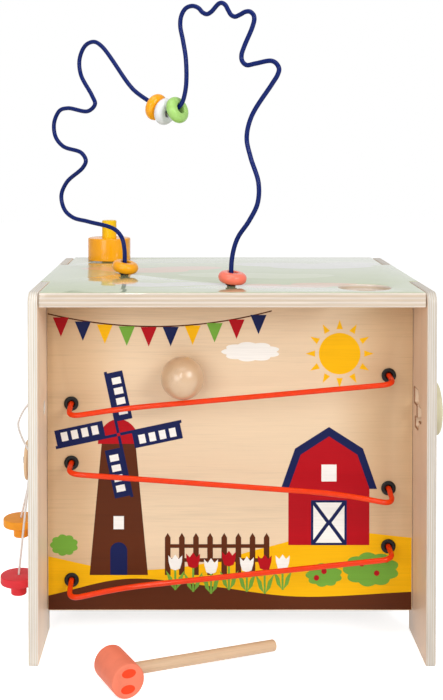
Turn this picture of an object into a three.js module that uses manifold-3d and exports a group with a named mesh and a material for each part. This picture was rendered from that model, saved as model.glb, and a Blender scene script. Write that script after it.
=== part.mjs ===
// Activity cube: an open-bottomed plywood box with a ball run, a bead maze, a turning drum,
// a cord pull, a turning disc and a loose hammer.
// Millimetres. X runs to the right, Y from the front edge to the back, Z up from the floor.

import * as THREE from 'three';
import { mergeVertices } from 'three/addons/utils/BufferGeometryUtils.js';
import Module from 'manifold-3d';

// Case
const CASE_WIDTH = 408;
const CASE_DEPTH = 345;
const CASE_HEIGHT = 376;
const SIDE_THICKNESS = 10;
const TOP_THICKNESS = 15;
const PANEL_THICKNESS = 8;
const LEG_DEPTH = 90;
const FOOT_ARCH_HEIGHT = 30;
const FOOT_ARCH_CORNER = 12;
const FOOT_CORNER = 4;
const SIDE_TOP_CORNER = 11;
const RUN_PANEL_SETBACK = 70;
const BACK_PANEL_SETBACK = 15;
const PANEL_FLOOR_GAP = 28;

// Clearances
const SEAT_GAP = 0.3;
const TOP_SIDE_GAP = 0.8;

// Screws through the side panels into the ends of the two cross panels
const SCREW_SHANK_DIAMETER = 3.5;
const SCREW_HEAD_DIAMETER = 8;
const SCREW_HEAD_HEIGHT = 2.2;
const SCREW_LENGTH = 30;
const SCREW_POINT = 3;
const SCREW_HEAD_FLAT = 5.6;
const SCREW_PILOT_SPARE = 1;
// The lower screws sit over the red weight's travel and under the pulley
const SCREW_LOWER_HEIGHT = 145;
const SCREW_TOP_GAP = 66;

// Ball run
const BALL_DIAMETER = 45;
const BALL_X = -50;
const BALL_HOLE_DIAMETER = 54;
const BALL_HOLE_SIDE_GAP = 56;
const BALL_HOLE_RUN_GAP = 27.5;
const RAIL_DIAMETER = 5.5;
const RAIL_SIDE_GAP = 26;
const RAIL_STAND_OFF = 32;
const RAIL_BEND = 14;
const RAIL_KNEE_BEND = 30;
const RAIL_ENTRY_BEND = 2;
const RAIL_TAIL = 6;
// The upper rail keeps its distance from the top board, the lower one from the floor
const UPPER_RAIL_DROP = 112;
const LOWER_RAIL_RISE = 61;
const MIDDLE_RAIL_LIFT = 31;
// Each rail's heights over its left end: its right end, its two front corners and its knee,
// which stands in from the front corner on its own side
const RAIL_SHAPES = {
  upper: { rightEnd: 30, leftCorner: -6.3, rightCorner: 27.5, knee: { side: -1, inset: 58, height: 2.4 } },
  middle: { rightEnd: -27, leftCorner: -2.5, rightCorner: -34, knee: { side: 1, inset: 58, height: -23 } },
  lower: { rightEnd: 36, leftCorner: -8, rightCorner: 34, knee: { side: -1, inset: 56, height: 4.4 } },
};
const RAIL_GROMMET = { flange: 15.4, rim: 1.8, stem: 10, shortBy: 2 };
const RAIL_NUT_DIAMETER = 13;
const RAIL_NUT_HEIGHT = 3.5;

// Bead maze: an upright wire outline that stands across the top on two feet
const MAZE_LEFT_X = -117;
const MAZE_RUN_GAP = 7.9;
const MAZE_SPAN = 152;
const MAZE_TURN = THREE.MathUtils.degToRad(-39.1);
const WIRE_DIAMETER = 5;
const WIRE_TAIL = 6;
// Points along the outline from the left foot to the right foot: distance from the left foot, height
const WIRE_POINTS = [
  [0, 0], [0, 28], [-4, 41], [-15, 50], [-57, 57], [-83, 61], [-97, 70], [-102, 86], [-93, 102],
  [-66, 120], [-61, 128], [-68, 137], [-99, 145], [-112, 157], [-114, 173], [-105, 187], [-91, 190],
  [-57, 186], [-46, 194], [-51, 204], [-69, 229], [-71, 247], [-62, 262], [-48, 266], [-35, 260],
  [7, 215], [18, 206], [49, 190], [68, 184], [83, 190], [90, 207], [90.5, 238],
  [86.5, 259], [82.5, 276], [84, 286.5], [90, 294], [99.5, 296], [108, 293], [113.5, 288],
  [119.5, 285.8], [125.5, 288], [131.5, 293], [135.5, 296], [139.5, 296.5], [144, 293.5], [148, 287.5],
  [151.5, 282.8], [156.5, 280.5], [163, 282], [170, 284.5], [176, 284.2], [180.5, 280.5], [181.5, 276],
  [179, 268], [168.5, 248.5], [165.2, 240], [166, 234], [171.5, 229.5], [183, 230.5], [203, 232.3],
  [209.5, 229], [212.5, 223.5], [210.5, 217.5], [204, 209], [178, 176],
  [172, 154], [177, 134], [187, 108], [186, 87], [175, 68], [160, 49], [153, 28], [MAZE_SPAN, 0],
];
const WIRE_GROMMET = { flange: 12, rim: 2, stem: 9, shortBy: 3 };
const WIRE_NUT_DIAMETER = 12;
const WIRE_NUT_HEIGHT = 4;

// Beads: drilled discs with a half-round rim
const BEAD_DIAMETER = 30;
const BEAD_HOLE_DIAMETER = 11;
const BEAD_HOLE_EDGE = 1.6;
const BEAD_THICKNESS = 12;
const BEAD_WIRE_GAP = 1.2;
// The two foot beads lean against the wire, just above the top board
const FOOT_BEADS = [
  { side: 'left', along: 0, name: 'foot_bead_orange', leanDegrees: 12, colour: 0xfaa51e },
  { side: 'right', along: MAZE_SPAN, name: 'foot_bead_coral', leanDegrees: 8, colour: 0xfa6e55 },
];
const FOOT_BEAD_SLACK = 0.5;
const FOOT_BEAD_TOP_GAP = 0.5;
// The low stretch of the wire carries three beads, each at its distance from the left foot
const VALLEY_BEADS = [
  { name: 'valley_bead_orange', along: 48.6, colour: 0xfaa51e },
  { name: 'valley_bead_white', along: 61, colour: 0xebebee },
  { name: 'valley_bead_green', along: 77.2, colour: 0xafe178 },
];
// Share of the wire's slope that a hanging bead takes up
const VALLEY_BEAD_SLOPE_SHARE = 0.8;

// Turning drum and its post
const DRUM_SIDE_GAP = 48;
const DRUM_BACK_GAP = 31;
const DRUM_DIAMETER = 54;
const DRUM_HEIGHT = 28;
const DRUM_EDGE = 2;
const POST_DIAMETER = 18.4;
const POST_ABOVE_DRUM = 22;
const POST_DEPTH = 14;
const POST_EDGE = 1.2;

// Cord pull on the left side panel
const SIDE_BOLT_RUN_GAP = 10;
const PULLEY_HEIGHT = 184;
const PULLEY_DIAMETER = 42;
const PULLEY_THICKNESS = 14;
const PULLEY_GROOVE_WIDTH = 7;
const PULLEY_PANEL_GAP = 0.6;
const CORD_DIAMETER = 2.4;
const CORD_SINK = 1.4;
const CORD_END_GAP = 0.9;
const PULLEY_BOLT = { shank: 5, head: 11, headHeight: 3, nut: 9, nutHeight: 4, tail: 2 };
const WEIGHT_DIAMETER = 38.6;
const WEIGHT_DISC_HEIGHT = 8.5;
const WEIGHT_KNOB_DIAMETER = 16.5;
const WEIGHT_KNOB_HEIGHT = 12;
const WEIGHT_EDGE = 1.2;
const WEIGHT_PANEL_GAP = 0.6;
// The orange weight hangs a little further out than the red one
const ORANGE_WEIGHT_SWING = 3.4;
const RED_WEIGHT_TOP = 67.5;
const ORANGE_WEIGHT_TOP = 115;
// Cord loop beside the lacing hole: distance out from the panel, height
const LOOP_POINTS = [[0, 258], [6, 252], [12, 243], [16, 232], [14, 222], [9, 211], [4, 203], [0, 199]];
const LACING_HOLE = { y: 52, height: 249, diameter: 14 };

// Turning disc on the right side panel
const DISC_HEIGHT = 240;
const DISC_DIAMETER = 58;
const DISC_THICKNESS = 12;
const DISC_EDGE = 2.5;
const DISC_INNER_EDGE = 1;
const SPACER_DIAMETER = 20;
const SPACER_THICKNESS = 7.1;
const DISC_BOLT = { shank: 6, head: 12, headHeight: 1.6, nut: 10, nutHeight: 5, tail: 2 };
// Stepped slot through the right side panel, from its top step to its lowest one
const SLOT_STEPS = [
  { front: 43, back: 65, top: 268, bottom: 252 },
  { front: 29, back: 51, top: 252, bottom: 238 },
  { front: 43, back: 60, top: 238, bottom: 228 },
];

// Hammer, lying on the floor in front of the cube
const HAMMER_X = -110.6;
const HAMMER_Y = -42;
const HAMMER_TURN = THREE.MathUtils.degToRad(27);
const HEAD_DIAMETER = 33;
const HEAD_LENGTH = 47;
const HEAD_EDGE = 1.2;
const HANDLE_DIAMETER = 11.6;
const HANDLE_REACH = 175;
const HANDLE_SOCKET = 5;
const HANDLE_EDGE = 2;
const FLOOR_GAP = 0.05;

// Facets
const ROUND_SIDES = 24;
const MIDDLE_SIDES = 16;
const SMALL_SIDES = 10;
const WIRE_SIDES = 6;
const WIRE_STEPS = 220;
const RAIL_STEPS = 44;
const CORD_SIDES = 8;
const CORD_STEPS = 10;
const BEAD_RIM_STEPS = 6;
const BALL_SIDES = 20;
const BALL_BANDS = 10;
const NUT_SIDES = 6;
const SIDE_ARC_SEGMENTS = 4;
const TOP_HOLE_SEGMENTS = 12;
const PANEL_HOLE_SEGMENTS = 5;
const BEND_POINTS = 12;
const WIRE_SAMPLES = 2000;

// Places worked out from the dimensions above
const OUTER_X = CASE_WIDTH / 2;
const INNER_X = OUTER_X - SIDE_THICKNESS;
const TOP_UNDERSIDE = CASE_HEIGHT - TOP_THICKNESS;
const RUN_FACE_Y = RUN_PANEL_SETBACK;
const BACK_FACE_Y = CASE_DEPTH - BACK_PANEL_SETBACK;
const RAIL_Y = RUN_FACE_Y - RAIL_STAND_OFF;
const RAIL_HALF_SPAN = INNER_X - RAIL_SIDE_GAP;
const UPPER_RAIL_HEIGHT = TOP_UNDERSIDE - UPPER_RAIL_DROP;
const RAIL_HEIGHTS = {
  upper: UPPER_RAIL_HEIGHT,
  middle: (UPPER_RAIL_HEIGHT + LOWER_RAIL_RISE) / 2 + MIDDLE_RAIL_LIFT,
  lower: LOWER_RAIL_RISE,
};
const BALL_HOLE_X = INNER_X - BALL_HOLE_SIDE_GAP;
const BALL_HOLE_Y = RUN_FACE_Y - BALL_HOLE_RUN_GAP;
const MAZE_LEFT_Y = RUN_FACE_Y - MAZE_RUN_GAP - MAZE_SPAN * Math.sin(MAZE_TURN);
const BEAD_RIM_MIDDLE = (BEAD_DIAMETER - BEAD_THICKNESS) / 2;
const BEAD_PLAY = (BEAD_HOLE_DIAMETER - WIRE_DIAMETER) / 2;
const DRUM_X = DRUM_SIDE_GAP - INNER_X;
const DRUM_Y = CASE_DEPTH - DRUM_BACK_GAP;
const SIDE_BOLT_Y = RUN_FACE_Y + PANEL_THICKNESS + SIDE_BOLT_RUN_GAP;
const PULLEY_GROOVE_OUT = PULLEY_PANEL_GAP + PULLEY_THICKNESS / 2;
const CORD_RADIUS_ON_PULLEY = PULLEY_DIAMETER / 2 - CORD_SINK;
const WEIGHT_OUT = WEIGHT_DIAMETER / 2 + WEIGHT_PANEL_GAP;

const WOOD = { color: 0xe8dcc8, roughness: 0.55, metalness: 0 };
const BIRCH = { color: 0xe1b98c, roughness: 0.55, metalness: 0 };
const STEEL = { color: 0xb9bcc0, roughness: 0.35, metalness: 1 };
const BLACK = { color: 0x191614, roughness: 0.45, metalness: 0 };
const CORD = { color: 0xebdcd7, roughness: 0.9, metalness: 0 };
const RAIL_COLOUR = { color: 0xfa5023, roughness: 0.25, metalness: 0 };
const NAVY = { color: 0x1c3478, roughness: 0.25, metalness: 0 };

const wasm = await Module();
wasm.setup();

// A closed three.js geometry as a solid that can be cut
function toSolid(geometry) {
  const bare = geometry.clone();
  bare.deleteAttribute('normal');
  bare.deleteAttribute('uv');
  const merged = mergeVertices(bare);
  const corners = Array.from(merged.index.array);
  const triangles = [];
  for (let i = 0; i < corners.length; i += 3) {
    const [a, b, c] = corners.slice(i, i + 3);
    if (a !== b && b !== c && c !== a) triangles.push(a, b, c);
  }
  return new wasm.Manifold(new wasm.Mesh({
    numProp: 3,
    vertProperties: new Float32Array(merged.attributes.position.array),
    triVerts: new Uint32Array(triangles),
  }));
}

function toGeometry(solid) {
  const mesh = solid.getMesh();
  const geometry = new THREE.BufferGeometry();
  geometry.setAttribute('position', new THREE.BufferAttribute(mesh.vertProperties, 3));
  geometry.setIndex(new THREE.BufferAttribute(mesh.triVerts, 1));
  geometry.computeVertexNormals();
  return geometry;
}

function cut(geometry, cutters) {
  const solid = cutters.reduce((left, cutter) => left.subtract(toSolid(cutter)), toSolid(geometry));
  return toGeometry(solid);
}

function addMesh(parent, name, geometry, finish) {
  const mesh = new THREE.Mesh(geometry, new THREE.MeshStandardMaterial(finish));
  mesh.name = name;
  parent.add(mesh);
  return mesh;
}

function paint(colour) {
  return { color: colour, roughness: 0.3, metalness: 0 };
}

// A turned piece: the profile lists radius and distance along +Y, anticlockwise
function turned(profile, sides = ROUND_SIDES) {
  return new THREE.LatheGeometry(profile.map(([radius, along]) => new THREE.Vector2(radius, along)), sides);
}

function upright(geometry) {
  return geometry.rotateX(Math.PI / 2);
}

// Turns +Y to point out of the left (-1) or right (+1) side panel
function outward(geometry, side) {
  return geometry.rotateZ(-side * Math.PI / 2);
}

// The hole's flats, not its corners, are the inner diameter apart
function ring(outerDiameter, innerDiameter, bottom, top, sides = SMALL_SIDES) {
  const outer = outerDiameter / 2;
  const inner = innerDiameter / 2 / Math.cos(Math.PI / sides);
  return turned([[inner, bottom], [outer, bottom], [outer, top], [inner, top], [inner, bottom]], sides);
}

function circle(x, y, diameter) {
  return new THREE.Path().absarc(x, y, diameter / 2, 0, 2 * Math.PI, true);
}

// A round tube along a curve
function tube(curve, diameter, sides, steps) {
  const section = new THREE.Shape();
  for (let side = 0; side < sides; side += 1) {
    const angle = (2 * Math.PI * side) / sides;
    const point = [diameter / 2 * Math.cos(angle), diameter / 2 * Math.sin(angle)];
    if (side === 0) section.moveTo(...point);
    else section.lineTo(...point);
  }
  section.closePath();
  return new THREE.ExtrudeGeometry(section, { steps, extrudePath: curve, bevelEnabled: false });
}

// Straight stretches through the corners, with a bend of its own length at each inner corner
function bentCurve(corners) {
  const curve = new THREE.CurvePath();
  let from = corners[0].at;
  for (let i = 1; i < corners.length - 1; i += 1) {
    const { at, bend } = corners[i];
    const before = at.clone().add(corners[i - 1].at.clone().sub(at).setLength(bend));
    const after = at.clone().add(corners[i + 1].at.clone().sub(at).setLength(bend));
    curve.add(new THREE.LineCurve3(from, before));
    curve.add(new THREE.QuadraticBezierCurve3(before, at, after));
    from = after;
  }
  curve.add(new THREE.LineCurve3(from, corners[corners.length - 1].at));
  return curve;
}

// A flat plate of a given outline: in the side plane (Y, Z), the front plane (X, Z) or the top plane (X, Y)
function plate(shape, thickness, plane, curveSegments) {
  const geometry = new THREE.ExtrudeGeometry(shape, { depth: thickness, bevelEnabled: false, curveSegments });
  const x = new THREE.Vector3(1, 0, 0);
  const y = new THREE.Vector3(0, 1, 0);
  const z = new THREE.Vector3(0, 0, 1);
  const basis = new THREE.Matrix4();
  if (plane === 'side') basis.makeBasis(y, z, x);
  if (plane === 'front') basis.makeBasis(x, z, y.clone().negate());
  return geometry.applyMatrix4(basis);
}

const assembly = new THREE.Group();

// Side panels

function sidePanelShape(holes) {
  const shape = new THREE.Shape();
  const archEnd = CASE_DEPTH - LEG_DEPTH;
  const archSpring = FOOT_ARCH_HEIGHT - FOOT_ARCH_CORNER;
  const notchFloor = TOP_UNDERSIDE - SEAT_GAP;
  shape.moveTo(FOOT_CORNER, 0);
  shape.lineTo(LEG_DEPTH, 0);
  shape.lineTo(LEG_DEPTH, archSpring);
  shape.absarc(LEG_DEPTH + FOOT_ARCH_CORNER, archSpring, FOOT_ARCH_CORNER, Math.PI, Math.PI / 2, true);
  shape.absarc(archEnd - FOOT_ARCH_CORNER, archSpring, FOOT_ARCH_CORNER, Math.PI / 2, 0, true);
  shape.lineTo(archEnd, 0);
  shape.absarc(CASE_DEPTH - FOOT_CORNER, FOOT_CORNER, FOOT_CORNER, -Math.PI / 2, 0, false);
  shape.absarc(
    CASE_DEPTH - SIDE_TOP_CORNER, CASE_HEIGHT - SIDE_TOP_CORNER, SIDE_TOP_CORNER, 0, Math.PI / 2, false,
  );
  shape.lineTo(archEnd, CASE_HEIGHT);
  shape.lineTo(archEnd, notchFloor);
  shape.lineTo(LEG_DEPTH, notchFloor);
  shape.lineTo(LEG_DEPTH, CASE_HEIGHT);
  shape.absarc(SIDE_TOP_CORNER, CASE_HEIGHT - SIDE_TOP_CORNER, SIDE_TOP_CORNER, Math.PI / 2, Math.PI, false);
  shape.absarc(FOOT_CORNER, FOOT_CORNER, FOOT_CORNER, Math.PI, 1.5 * Math.PI, false);
  shape.holes.push(...holes);
  return shape;
}

const screwHoleDiameter = SCREW_SHANK_DIAMETER + 2 * SEAT_GAP;
const crossPanels = [
  { name: 'run_panel', middleY: RUN_FACE_Y + PANEL_THICKNESS / 2 },
  { name: 'back_panel', middleY: BACK_FACE_Y - PANEL_THICKNESS / 2 },
];
const screwLevels = [
  { name: 'lower', height: SCREW_LOWER_HEIGHT },
  { name: 'upper', height: CASE_HEIGHT - SCREW_TOP_GAP },
];

function screwHoles() {
  const holes = [];
  for (const panel of crossPanels) {
    for (const level of screwLevels) holes.push(circle(panel.middleY, level.height, screwHoleDiameter));
  }
  return holes;
}

function steppedSlot() {
  const slot = new THREE.Path();
  const backs = SLOT_STEPS.flatMap((step) => [[step.back, step.top], [step.back, step.bottom]]);
  const upward = SLOT_STEPS.toReversed();
  const fronts = upward.flatMap((step) => [[step.front, step.bottom], [step.front, step.top]]);
  slot.setFromPoints([...backs, ...fronts].map(([y, z]) => new THREE.Vector2(y, z)));
  slot.closePath();
  return slot;
}

const leftHoles = [
  ...screwHoles(),
  circle(SIDE_BOLT_Y, PULLEY_HEIGHT, PULLEY_BOLT.shank + 2 * SEAT_GAP),
  circle(LACING_HOLE.y, LACING_HOLE.height, LACING_HOLE.diameter),
];
const rightHoles = [
  ...screwHoles(),
  circle(SIDE_BOLT_Y, DISC_HEIGHT, DISC_BOLT.shank + 2 * SEAT_GAP),
  steppedSlot(),
];
const leftPanel = plate(sidePanelShape(leftHoles), SIDE_THICKNESS, 'side', SIDE_ARC_SEGMENTS);
addMesh(assembly, 'left_side_panel', leftPanel.translate(-OUTER_X, 0, 0), WOOD);
const rightPanel = plate(sidePanelShape(rightHoles), SIDE_THICKNESS, 'side', SIDE_ARC_SEGMENTS);
addMesh(assembly, 'right_side_panel', rightPanel.translate(INNER_X, 0, 0), WOOD);

// Top board

function mazeFoot(along) {
  return [MAZE_LEFT_X + along * Math.cos(MAZE_TURN), MAZE_LEFT_Y + along * Math.sin(MAZE_TURN)];
}

function topBoardShape() {
  const bodyX = INNER_X - TOP_SIDE_GAP;
  const tabFront = LEG_DEPTH + TOP_SIDE_GAP;
  const tabBack = CASE_DEPTH - LEG_DEPTH - TOP_SIDE_GAP;
  const rightHalf = [
    [bodyX, 0], [bodyX, tabFront], [OUTER_X, tabFront],
    [OUTER_X, tabBack], [bodyX, tabBack], [bodyX, CASE_DEPTH],
  ];
  const leftHalf = rightHalf.toReversed().map(([x, y]) => [-x, y]);
  const shape = new THREE.Shape([...rightHalf, ...leftHalf].map(([x, y]) => new THREE.Vector2(x, y)));
  const stemHole = WIRE_GROMMET.stem + 2 * SEAT_GAP;
  shape.holes.push(
    circle(BALL_HOLE_X, BALL_HOLE_Y, BALL_HOLE_DIAMETER),
    circle(...mazeFoot(0), stemHole),
    circle(...mazeFoot(MAZE_SPAN), stemHole),
    circle(DRUM_X, DRUM_Y, POST_DIAMETER + 2 * SEAT_GAP),
  );
  return shape;
}

const topBoard = plate(topBoardShape(), TOP_THICKNESS, 'top', TOP_HOLE_SEGMENTS);
addMesh(assembly, 'top_board', topBoard.translate(0, 0, TOP_UNDERSIDE), { ...WOOD, color: 0xd2decd });

// Cross panels and their screws

function panelShape(holes) {
  const halfWidth = INNER_X - SEAT_GAP;
  const panelTop = TOP_UNDERSIDE - SEAT_GAP;
  const shape = new THREE.Shape();
  shape.moveTo(-halfWidth, PANEL_FLOOR_GAP);
  shape.lineTo(halfWidth, PANEL_FLOOR_GAP);
  shape.lineTo(halfWidth, panelTop);
  shape.lineTo(-halfWidth, panelTop);
  shape.closePath();
  shape.holes.push(...holes);
  return shape;
}

// Pilot holes for the screws, sunk into both ends of a cross panel
function pilotHoles(middleY) {
  const depth = SCREW_LENGTH - SIDE_THICKNESS + SCREW_PILOT_SPARE;
  const cutters = [];
  for (const side of [-1, 1]) {
    for (const level of screwLevels) {
      const hole = new THREE.CylinderGeometry(
        screwHoleDiameter / 2, screwHoleDiameter / 2, 2 * depth, SMALL_SIDES,
      );
      cutters.push(outward(hole, side).translate(side * INNER_X, middleY, level.height));
    }
  }
  return cutters;
}

const railHoleDiameter = RAIL_GROMMET.stem + 2 * SEAT_GAP;
const rails = Object.entries(RAIL_SHAPES).map(([name, shape]) => {
  const base = RAIL_HEIGHTS[name];
  return {
    name,
    leftEnd: base,
    rightEnd: base + shape.rightEnd,
    leftCorner: base + shape.leftCorner,
    rightCorner: base + shape.rightCorner,
    kneeX: shape.knee.side * (RAIL_HALF_SPAN - shape.knee.inset),
    knee: base + shape.knee.height,
  };
});
const railHoles = rails.flatMap((rail) => [
  circle(-RAIL_HALF_SPAN, rail.leftEnd, railHoleDiameter),
  circle(RAIL_HALF_SPAN, rail.rightEnd, railHoleDiameter),
]);
for (const panel of crossPanels) {
  const holes = panel.name === 'run_panel' ? railHoles : [];
  const blank = plate(panelShape(holes), PANEL_THICKNESS, 'front', PANEL_HOLE_SEGMENTS);
  blank.translate(0, panel.middleY + PANEL_THICKNESS / 2, 0);
  const name = panel.name === 'run_panel' ? 'ball_run_panel' : panel.name;
  addMesh(assembly, name, cut(blank, pilotHoles(panel.middleY)), BIRCH);
}

function screw() {
  const shank = SCREW_SHANK_DIAMETER / 2;
  const head = SCREW_HEAD_DIAMETER / 2;
  const headTop = SEAT_GAP + SCREW_HEAD_HEIGHT;
  const profile = [
    [0, -SCREW_LENGTH], [shank, SCREW_POINT - SCREW_LENGTH], [shank, SEAT_GAP],
    [head, SEAT_GAP], [SCREW_HEAD_FLAT / 2, headTop], [0, headTop],
  ];
  return turned(profile, SMALL_SIDES);
}

for (const panel of crossPanels) {
  for (const side of [-1, 1]) {
    for (const level of screwLevels) {
      const name = `${panel.name}_screw_${side < 0 ? 'left' : 'right'}_${level.name}`;
      const mesh = addMesh(assembly, name, outward(screw(), side), STEEL);
      mesh.position.set(side * OUTER_X, panel.middleY, level.height);
    }
  }
}

// Grommets and push nuts round the wire ends

// The flange rests on the panel at zero, and the stem runs down the hole
function grommet({ flange, rim, stem, shortBy }, wireDiameter, panelThickness) {
  const depth = panelThickness - shortBy;
  const bore = wireDiameter / 2 + SEAT_GAP;
  const edge = rim / 2;
  const profile = [
    [bore, -depth], [stem / 2, -depth], [stem / 2, SEAT_GAP], [flange / 2, SEAT_GAP],
    [flange / 2, SEAT_GAP + rim - edge], [flange / 2 - edge, SEAT_GAP + rim],
    [bore, SEAT_GAP + rim], [bore, -depth],
  ];
  return turned(profile, SMALL_SIDES);
}

// Rails

function railCurve(rail) {
  const tailY = RUN_FACE_Y + PANEL_THICKNESS + RAIL_TAIL;
  const grommetY = RUN_FACE_Y - RAIL_GROMMET.rim - SEAT_GAP;
  const point = (x, y, z, bend) => ({ at: new THREE.Vector3(x, y, z), bend });
  return bentCurve([
    point(-RAIL_HALF_SPAN, tailY, rail.leftEnd, 0),
    point(-RAIL_HALF_SPAN, grommetY - RAIL_ENTRY_BEND, rail.leftEnd, RAIL_ENTRY_BEND),
    point(-RAIL_HALF_SPAN, RAIL_Y, rail.leftCorner, RAIL_BEND),
    point(rail.kneeX, RAIL_Y, rail.knee, RAIL_KNEE_BEND),
    point(RAIL_HALF_SPAN, RAIL_Y, rail.rightCorner, RAIL_BEND),
    point(RAIL_HALF_SPAN, grommetY - RAIL_ENTRY_BEND, rail.rightEnd, RAIL_ENTRY_BEND),
    point(RAIL_HALF_SPAN, tailY, rail.rightEnd, 0),
  ]);
}

for (const rail of rails) {
  const wire = tube(railCurve(rail), RAIL_DIAMETER, WIRE_SIDES, RAIL_STEPS);
  addMesh(assembly, `ball_rail_${rail.name}`, wire, RAIL_COLOUR);
  const ends = [
    { name: 'left', x: -RAIL_HALF_SPAN, height: rail.leftEnd },
    { name: 'right', x: RAIL_HALF_SPAN, height: rail.rightEnd },
  ];
  for (const end of ends) {
    const front = grommet(RAIL_GROMMET, RAIL_DIAMETER, PANEL_THICKNESS).rotateX(Math.PI);
    const frontMesh = addMesh(assembly, `rail_grommet_${rail.name}_${end.name}`, front, BLACK);
    frontMesh.position.set(end.x, RUN_FACE_Y, end.height);
    const nut = ring(RAIL_NUT_DIAMETER, RAIL_DIAMETER + 2 * SEAT_GAP, SEAT_GAP, SEAT_GAP + RAIL_NUT_HEIGHT);
    const nutMesh = addMesh(assembly, `rail_nut_${rail.name}_${end.name}`, nut, STEEL);
    nutMesh.position.set(end.x, RUN_FACE_Y + PANEL_THICKNESS, end.height);
  }
}

// Ball, resting on the upper rail and against the panel

function ballPlace() {
  const [upper] = rails;
  const rise = (upper.rightCorner - upper.knee) / (RAIL_HALF_SPAN - upper.kneeX);
  const railZ = upper.knee + rise * (BALL_X - upper.kneeX);
  const ballY = RUN_FACE_Y - SEAT_GAP - BALL_DIAMETER / 2;
  const reach = (BALL_DIAMETER + RAIL_DIAMETER) / 2 + SEAT_GAP;
  const squareRise = Math.sqrt(reach ** 2 - (ballY - RAIL_Y) ** 2);
  return new THREE.Vector3(BALL_X, ballY, railZ + squareRise * Math.hypot(1, rise));
}

const ball = new THREE.SphereGeometry(BALL_DIAMETER / 2, BALL_SIDES, BALL_BANDS);
addMesh(assembly, 'wooden_ball', ball, { ...BIRCH, color: 0xe1be96 }).position.copy(ballPlace());

// Bead maze: a group whose X runs along the wire's plane and whose Z is the height over the top board

const maze = new THREE.Group();
maze.position.set(MAZE_LEFT_X, MAZE_LEFT_Y, CASE_HEIGHT);
maze.rotation.z = MAZE_TURN;
assembly.add(maze);

const wireEnd = -(TOP_THICKNESS + WIRE_TAIL);
const wireOutline = [[0, wireEnd], ...WIRE_POINTS, [MAZE_SPAN, wireEnd]];
const wireRoute = wireOutline.map(([along, height]) => new THREE.Vector3(along, 0, height));
const wireCurve = new THREE.CatmullRomCurve3(wireRoute);
addMesh(maze, 'bead_wire', tube(wireCurve, WIRE_DIAMETER, WIRE_SIDES, WIRE_STEPS), NAVY);

// Drilled disc turned about +Y
function bead() {
  const half = BEAD_THICKNESS / 2;
  const hole = BEAD_HOLE_DIAMETER / 2;
  const profile = [[hole, BEAD_HOLE_EDGE - half], [hole + BEAD_HOLE_EDGE, -half]];
  for (let i = 0; i <= BEAD_RIM_STEPS; i += 1) {
    const angle = Math.PI * (i / BEAD_RIM_STEPS - 0.5);
    profile.push([BEAD_RIM_MIDDLE + half * Math.cos(angle), half * Math.sin(angle)]);
  }
  profile.push([hole + BEAD_HOLE_EDGE, half], [hole, half - BEAD_HOLE_EDGE], profile[0]);
  return turned(profile, MIDDLE_SIDES);
}

for (const { side, along, name, leanDegrees, colour } of FOOT_BEADS) {
  const collar = upright(grommet(WIRE_GROMMET, WIRE_DIAMETER, TOP_THICKNESS));
  addMesh(maze, `wire_grommet_${side}`, collar, BLACK).position.set(along, 0, 0);
  const nut = ring(WIRE_NUT_DIAMETER, WIRE_DIAMETER + 2 * SEAT_GAP, -SEAT_GAP - WIRE_NUT_HEIGHT, -SEAT_GAP);
  const nutMesh = addMesh(maze, `wire_nut_${side}`, upright(nut), STEEL);
  nutMesh.position.set(along, 0, -TOP_THICKNESS);
  const lean = THREE.MathUtils.degToRad(leanDegrees);
  const shift = BEAD_PLAY - BEAD_THICKNESS / 2 * Math.tan(lean) - FOOT_BEAD_SLACK;
  const rise = FOOT_BEAD_TOP_GAP + BEAD_RIM_MIDDLE * Math.sin(lean) + BEAD_THICKNESS / 2;
  const footBead = addMesh(maze, name, upright(bead()), paint(colour));
  footBead.position.set(along + shift, 0, rise);
  footBead.rotation.y = lean;
}

// A hanging bead's hole rests on the wire from below
const beadHang = BEAD_PLAY - BEAD_WIRE_GAP;
const wireSamples = wireCurve.getSpacedPoints(WIRE_SAMPLES);
for (const { name, along, colour } of VALLEY_BEADS) {
  const sample = wireSamples.findIndex((point) => point.x >= along);
  const tangent = wireCurve.getTangentAt(sample / WIRE_SAMPLES);
  const slope = Math.atan2(tangent.z, tangent.x);
  const mesh = addMesh(maze, name, outward(bead(), 1), paint(colour));
  mesh.position.copy(wireSamples[sample]);
  mesh.position.x += beadHang * Math.sin(slope);
  mesh.position.z -= beadHang * Math.cos(slope);
  mesh.rotation.y = -slope * VALLEY_BEAD_SLOPE_SHARE;
}

// Turning drum and post

const drumTop = SEAT_GAP + DRUM_HEIGHT;
const drumBore = POST_DIAMETER / 2 + SEAT_GAP;
const drumRadius = DRUM_DIAMETER / 2;
const drum = turned([
  [drumBore, SEAT_GAP], [drumRadius - DRUM_EDGE / 2, SEAT_GAP], [drumRadius, SEAT_GAP + DRUM_EDGE / 2],
  [drumRadius, drumTop - DRUM_EDGE], [drumRadius - DRUM_EDGE, drumTop],
  [drumBore, drumTop], [drumBore, SEAT_GAP],
]);
addMesh(assembly, 'turning_drum', upright(drum), paint(0xfaa514)).position.set(DRUM_X, DRUM_Y, CASE_HEIGHT);
const postTop = drumTop + POST_ABOVE_DRUM;
const post = turned([
  [0, -POST_DEPTH], [POST_DIAMETER / 2, -POST_DEPTH], [POST_DIAMETER / 2, postTop - POST_EDGE],
  [POST_DIAMETER / 2 - POST_EDGE, postTop], [0, postTop],
], MIDDLE_SIDES);
addMesh(assembly, 'drum_post', upright(post), paint(0xfac814)).position.set(DRUM_X, DRUM_Y, CASE_HEIGHT);

// Bolt through a side panel: zero is the panel's outer face, and +Y points out of it

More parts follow.
